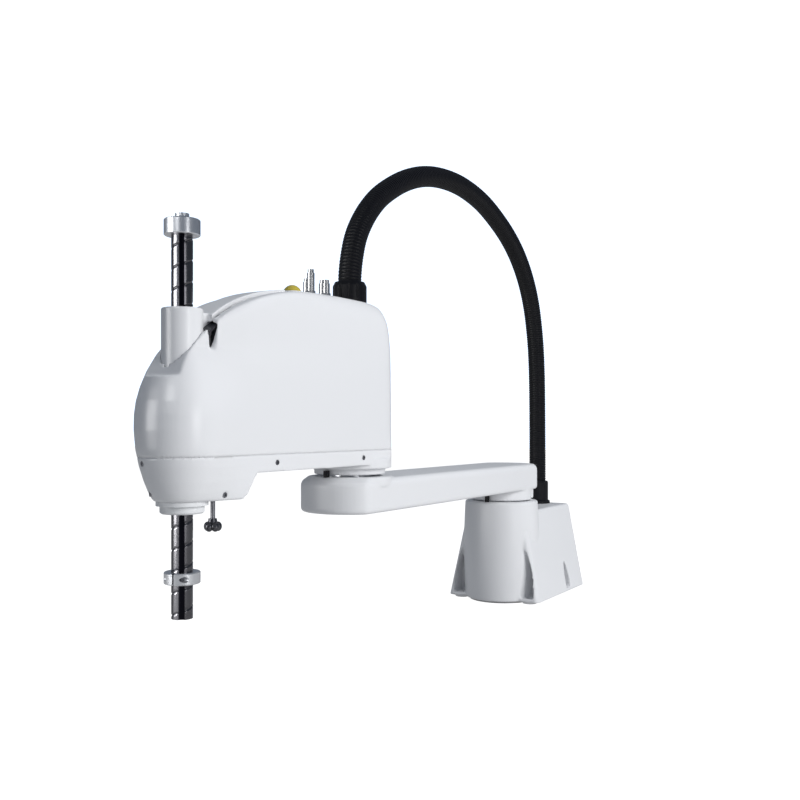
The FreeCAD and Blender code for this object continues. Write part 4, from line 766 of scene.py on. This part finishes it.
def photo_camera():
    camera = bpy.data.cameras.new("photo camera")
    camera.sensor_width = SENSOR
    camera.lens = FOCAL_PIXELS / PICTURE_PIXELS * SENSOR
    camera.shift_y = HORIZON_DROP_PIXELS / PICTURE_PIXELS
    holder = bpy.data.objects.new("photo_camera", camera)
    bpy.context.scene.collection.objects.link(holder)
    holder.location = CAMERA_PLACE
    holder.rotation_euler = (math.radians(90.0), 0.0, math.radians(CAMERA_YAW))
    bpy.context.scene.camera = holder


# Operators, panel and registration


class ROBOT_OT_finishes(bpy.types.Operator):
    """Give every visible part the finish of its material slot"""
    bl_idname = "robot.finishes"
    bl_label = "Finishes"

    def execute(self, context):
        for node, part in frame["nodes"].items():
            part.data.materials.clear()
            part.data.materials.append(finish_of(slot_of_node(node)))
        return {"FINISHED"}


class ROBOT_OT_mouldings(bpy.types.Operator):
    """Draw the castings and covers with soft moulded edges"""
    bl_idname = "robot.mouldings"
    bl_label = "Mouldings"

    def execute(self, context):
        for row in MOULDED:
            moulded_piece(*row)
        return {"FINISHED"}


class ROBOT_OT_slot_floor(bpy.types.Operator):
    """Draw the dark inner skin under the cover's long slot, as painted shade"""
    bl_idname = "robot.slot_floor"
    bl_label = "Slot floor"

    def execute(self, context):
        slot_floor()
        return {"FINISHED"}


class ROBOT_OT_spindle(bpy.types.Operator):
    """Draw the spindle with its ball groove and straight grooves"""
    bl_idname = "robot.spindle"
    bl_label = "Spindle"

    def execute(self, context):
        spindle()
        return {"FINISHED"}


class ROBOT_OT_conduit(bpy.types.Operator):
    """Draw the corrugated conduit over the arm"""
    bl_idname = "robot.conduit"
    bl_label = "Conduit"

    def execute(self, context):
        conduit()
        return {"FINISHED"}


class ROBOT_OT_star_knob(bpy.types.Operator):
    """Draw the star knob with round lobes"""
    bl_idname = "robot.star_knob"
    bl_label = "Star knob"

    def execute(self, context):
        star_knob()
        return {"FINISHED"}


class ROBOT_OT_connector_pins(bpy.types.Operator):
    """Set the contact pins into the sockets on the base"""
    bl_idname = "robot.connector_pins"
    bl_label = "Connector pins"

    def execute(self, context):
        connector_pins()
        return {"FINISHED"}


class ROBOT_OT_studio(bpy.types.Operator):
    """Build the floor, the surroundings, the lights and the camera"""
    bl_idname = "robot.studio"
    bl_label = "Studio"

    def execute(self, context):
        context.scene.view_settings.view_transform = "Standard"
        studio_floor()
        studio_world()
        studio_lights()
        photo_camera()
        return {"FINISHED"}


OPERATORS = (ROBOT_OT_finishes, ROBOT_OT_slot_floor, ROBOT_OT_mouldings, ROBOT_OT_spindle,
             ROBOT_OT_conduit, ROBOT_OT_star_knob, ROBOT_OT_connector_pins, ROBOT_OT_studio)


class ROBOT_PT_build(bpy.types.Panel):
    """Buttons that build each group of the robot"""
    bl_idname = "ROBOT_PT_build"
    bl_label = "Robot"
    bl_space_type = "VIEW_3D"
    bl_region_type = "UI"
    bl_category = "Robot"

    def draw(self, context):
        for name in RobotLook.__annotations__:
            self.layout.prop(context.scene.robot_look, name)
        for operator in OPERATORS:
            self.layout.operator(operator.bl_idname)


def register():
    bpy.utils.register_class(RobotLook)
    bpy.types.Scene.robot_look = bpy.props.PointerProperty(type=RobotLook)
    for made in OPERATORS + (ROBOT_PT_build,):
        bpy.utils.register_class(made)


def unregister():
    for made in reversed(OPERATORS + (ROBOT_PT_build,)):
        bpy.utils.unregister_class(made)
    del bpy.types.Scene.robot_look
    bpy.utils.unregister_class(RobotLook)


def main():
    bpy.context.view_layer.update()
    register()
    for step in (bpy.ops.robot.finishes, bpy.ops.robot.slot_floor, bpy.ops.robot.mouldings,
                 bpy.ops.robot.spindle, bpy.ops.robot.conduit, bpy.ops.robot.star_knob,
                 bpy.ops.robot.connector_pins, bpy.ops.robot.studio):
        if step() != {"FINISHED"}:
            raise RuntimeError("a building step did not finish")


if __name__ == "__main__":
    main()
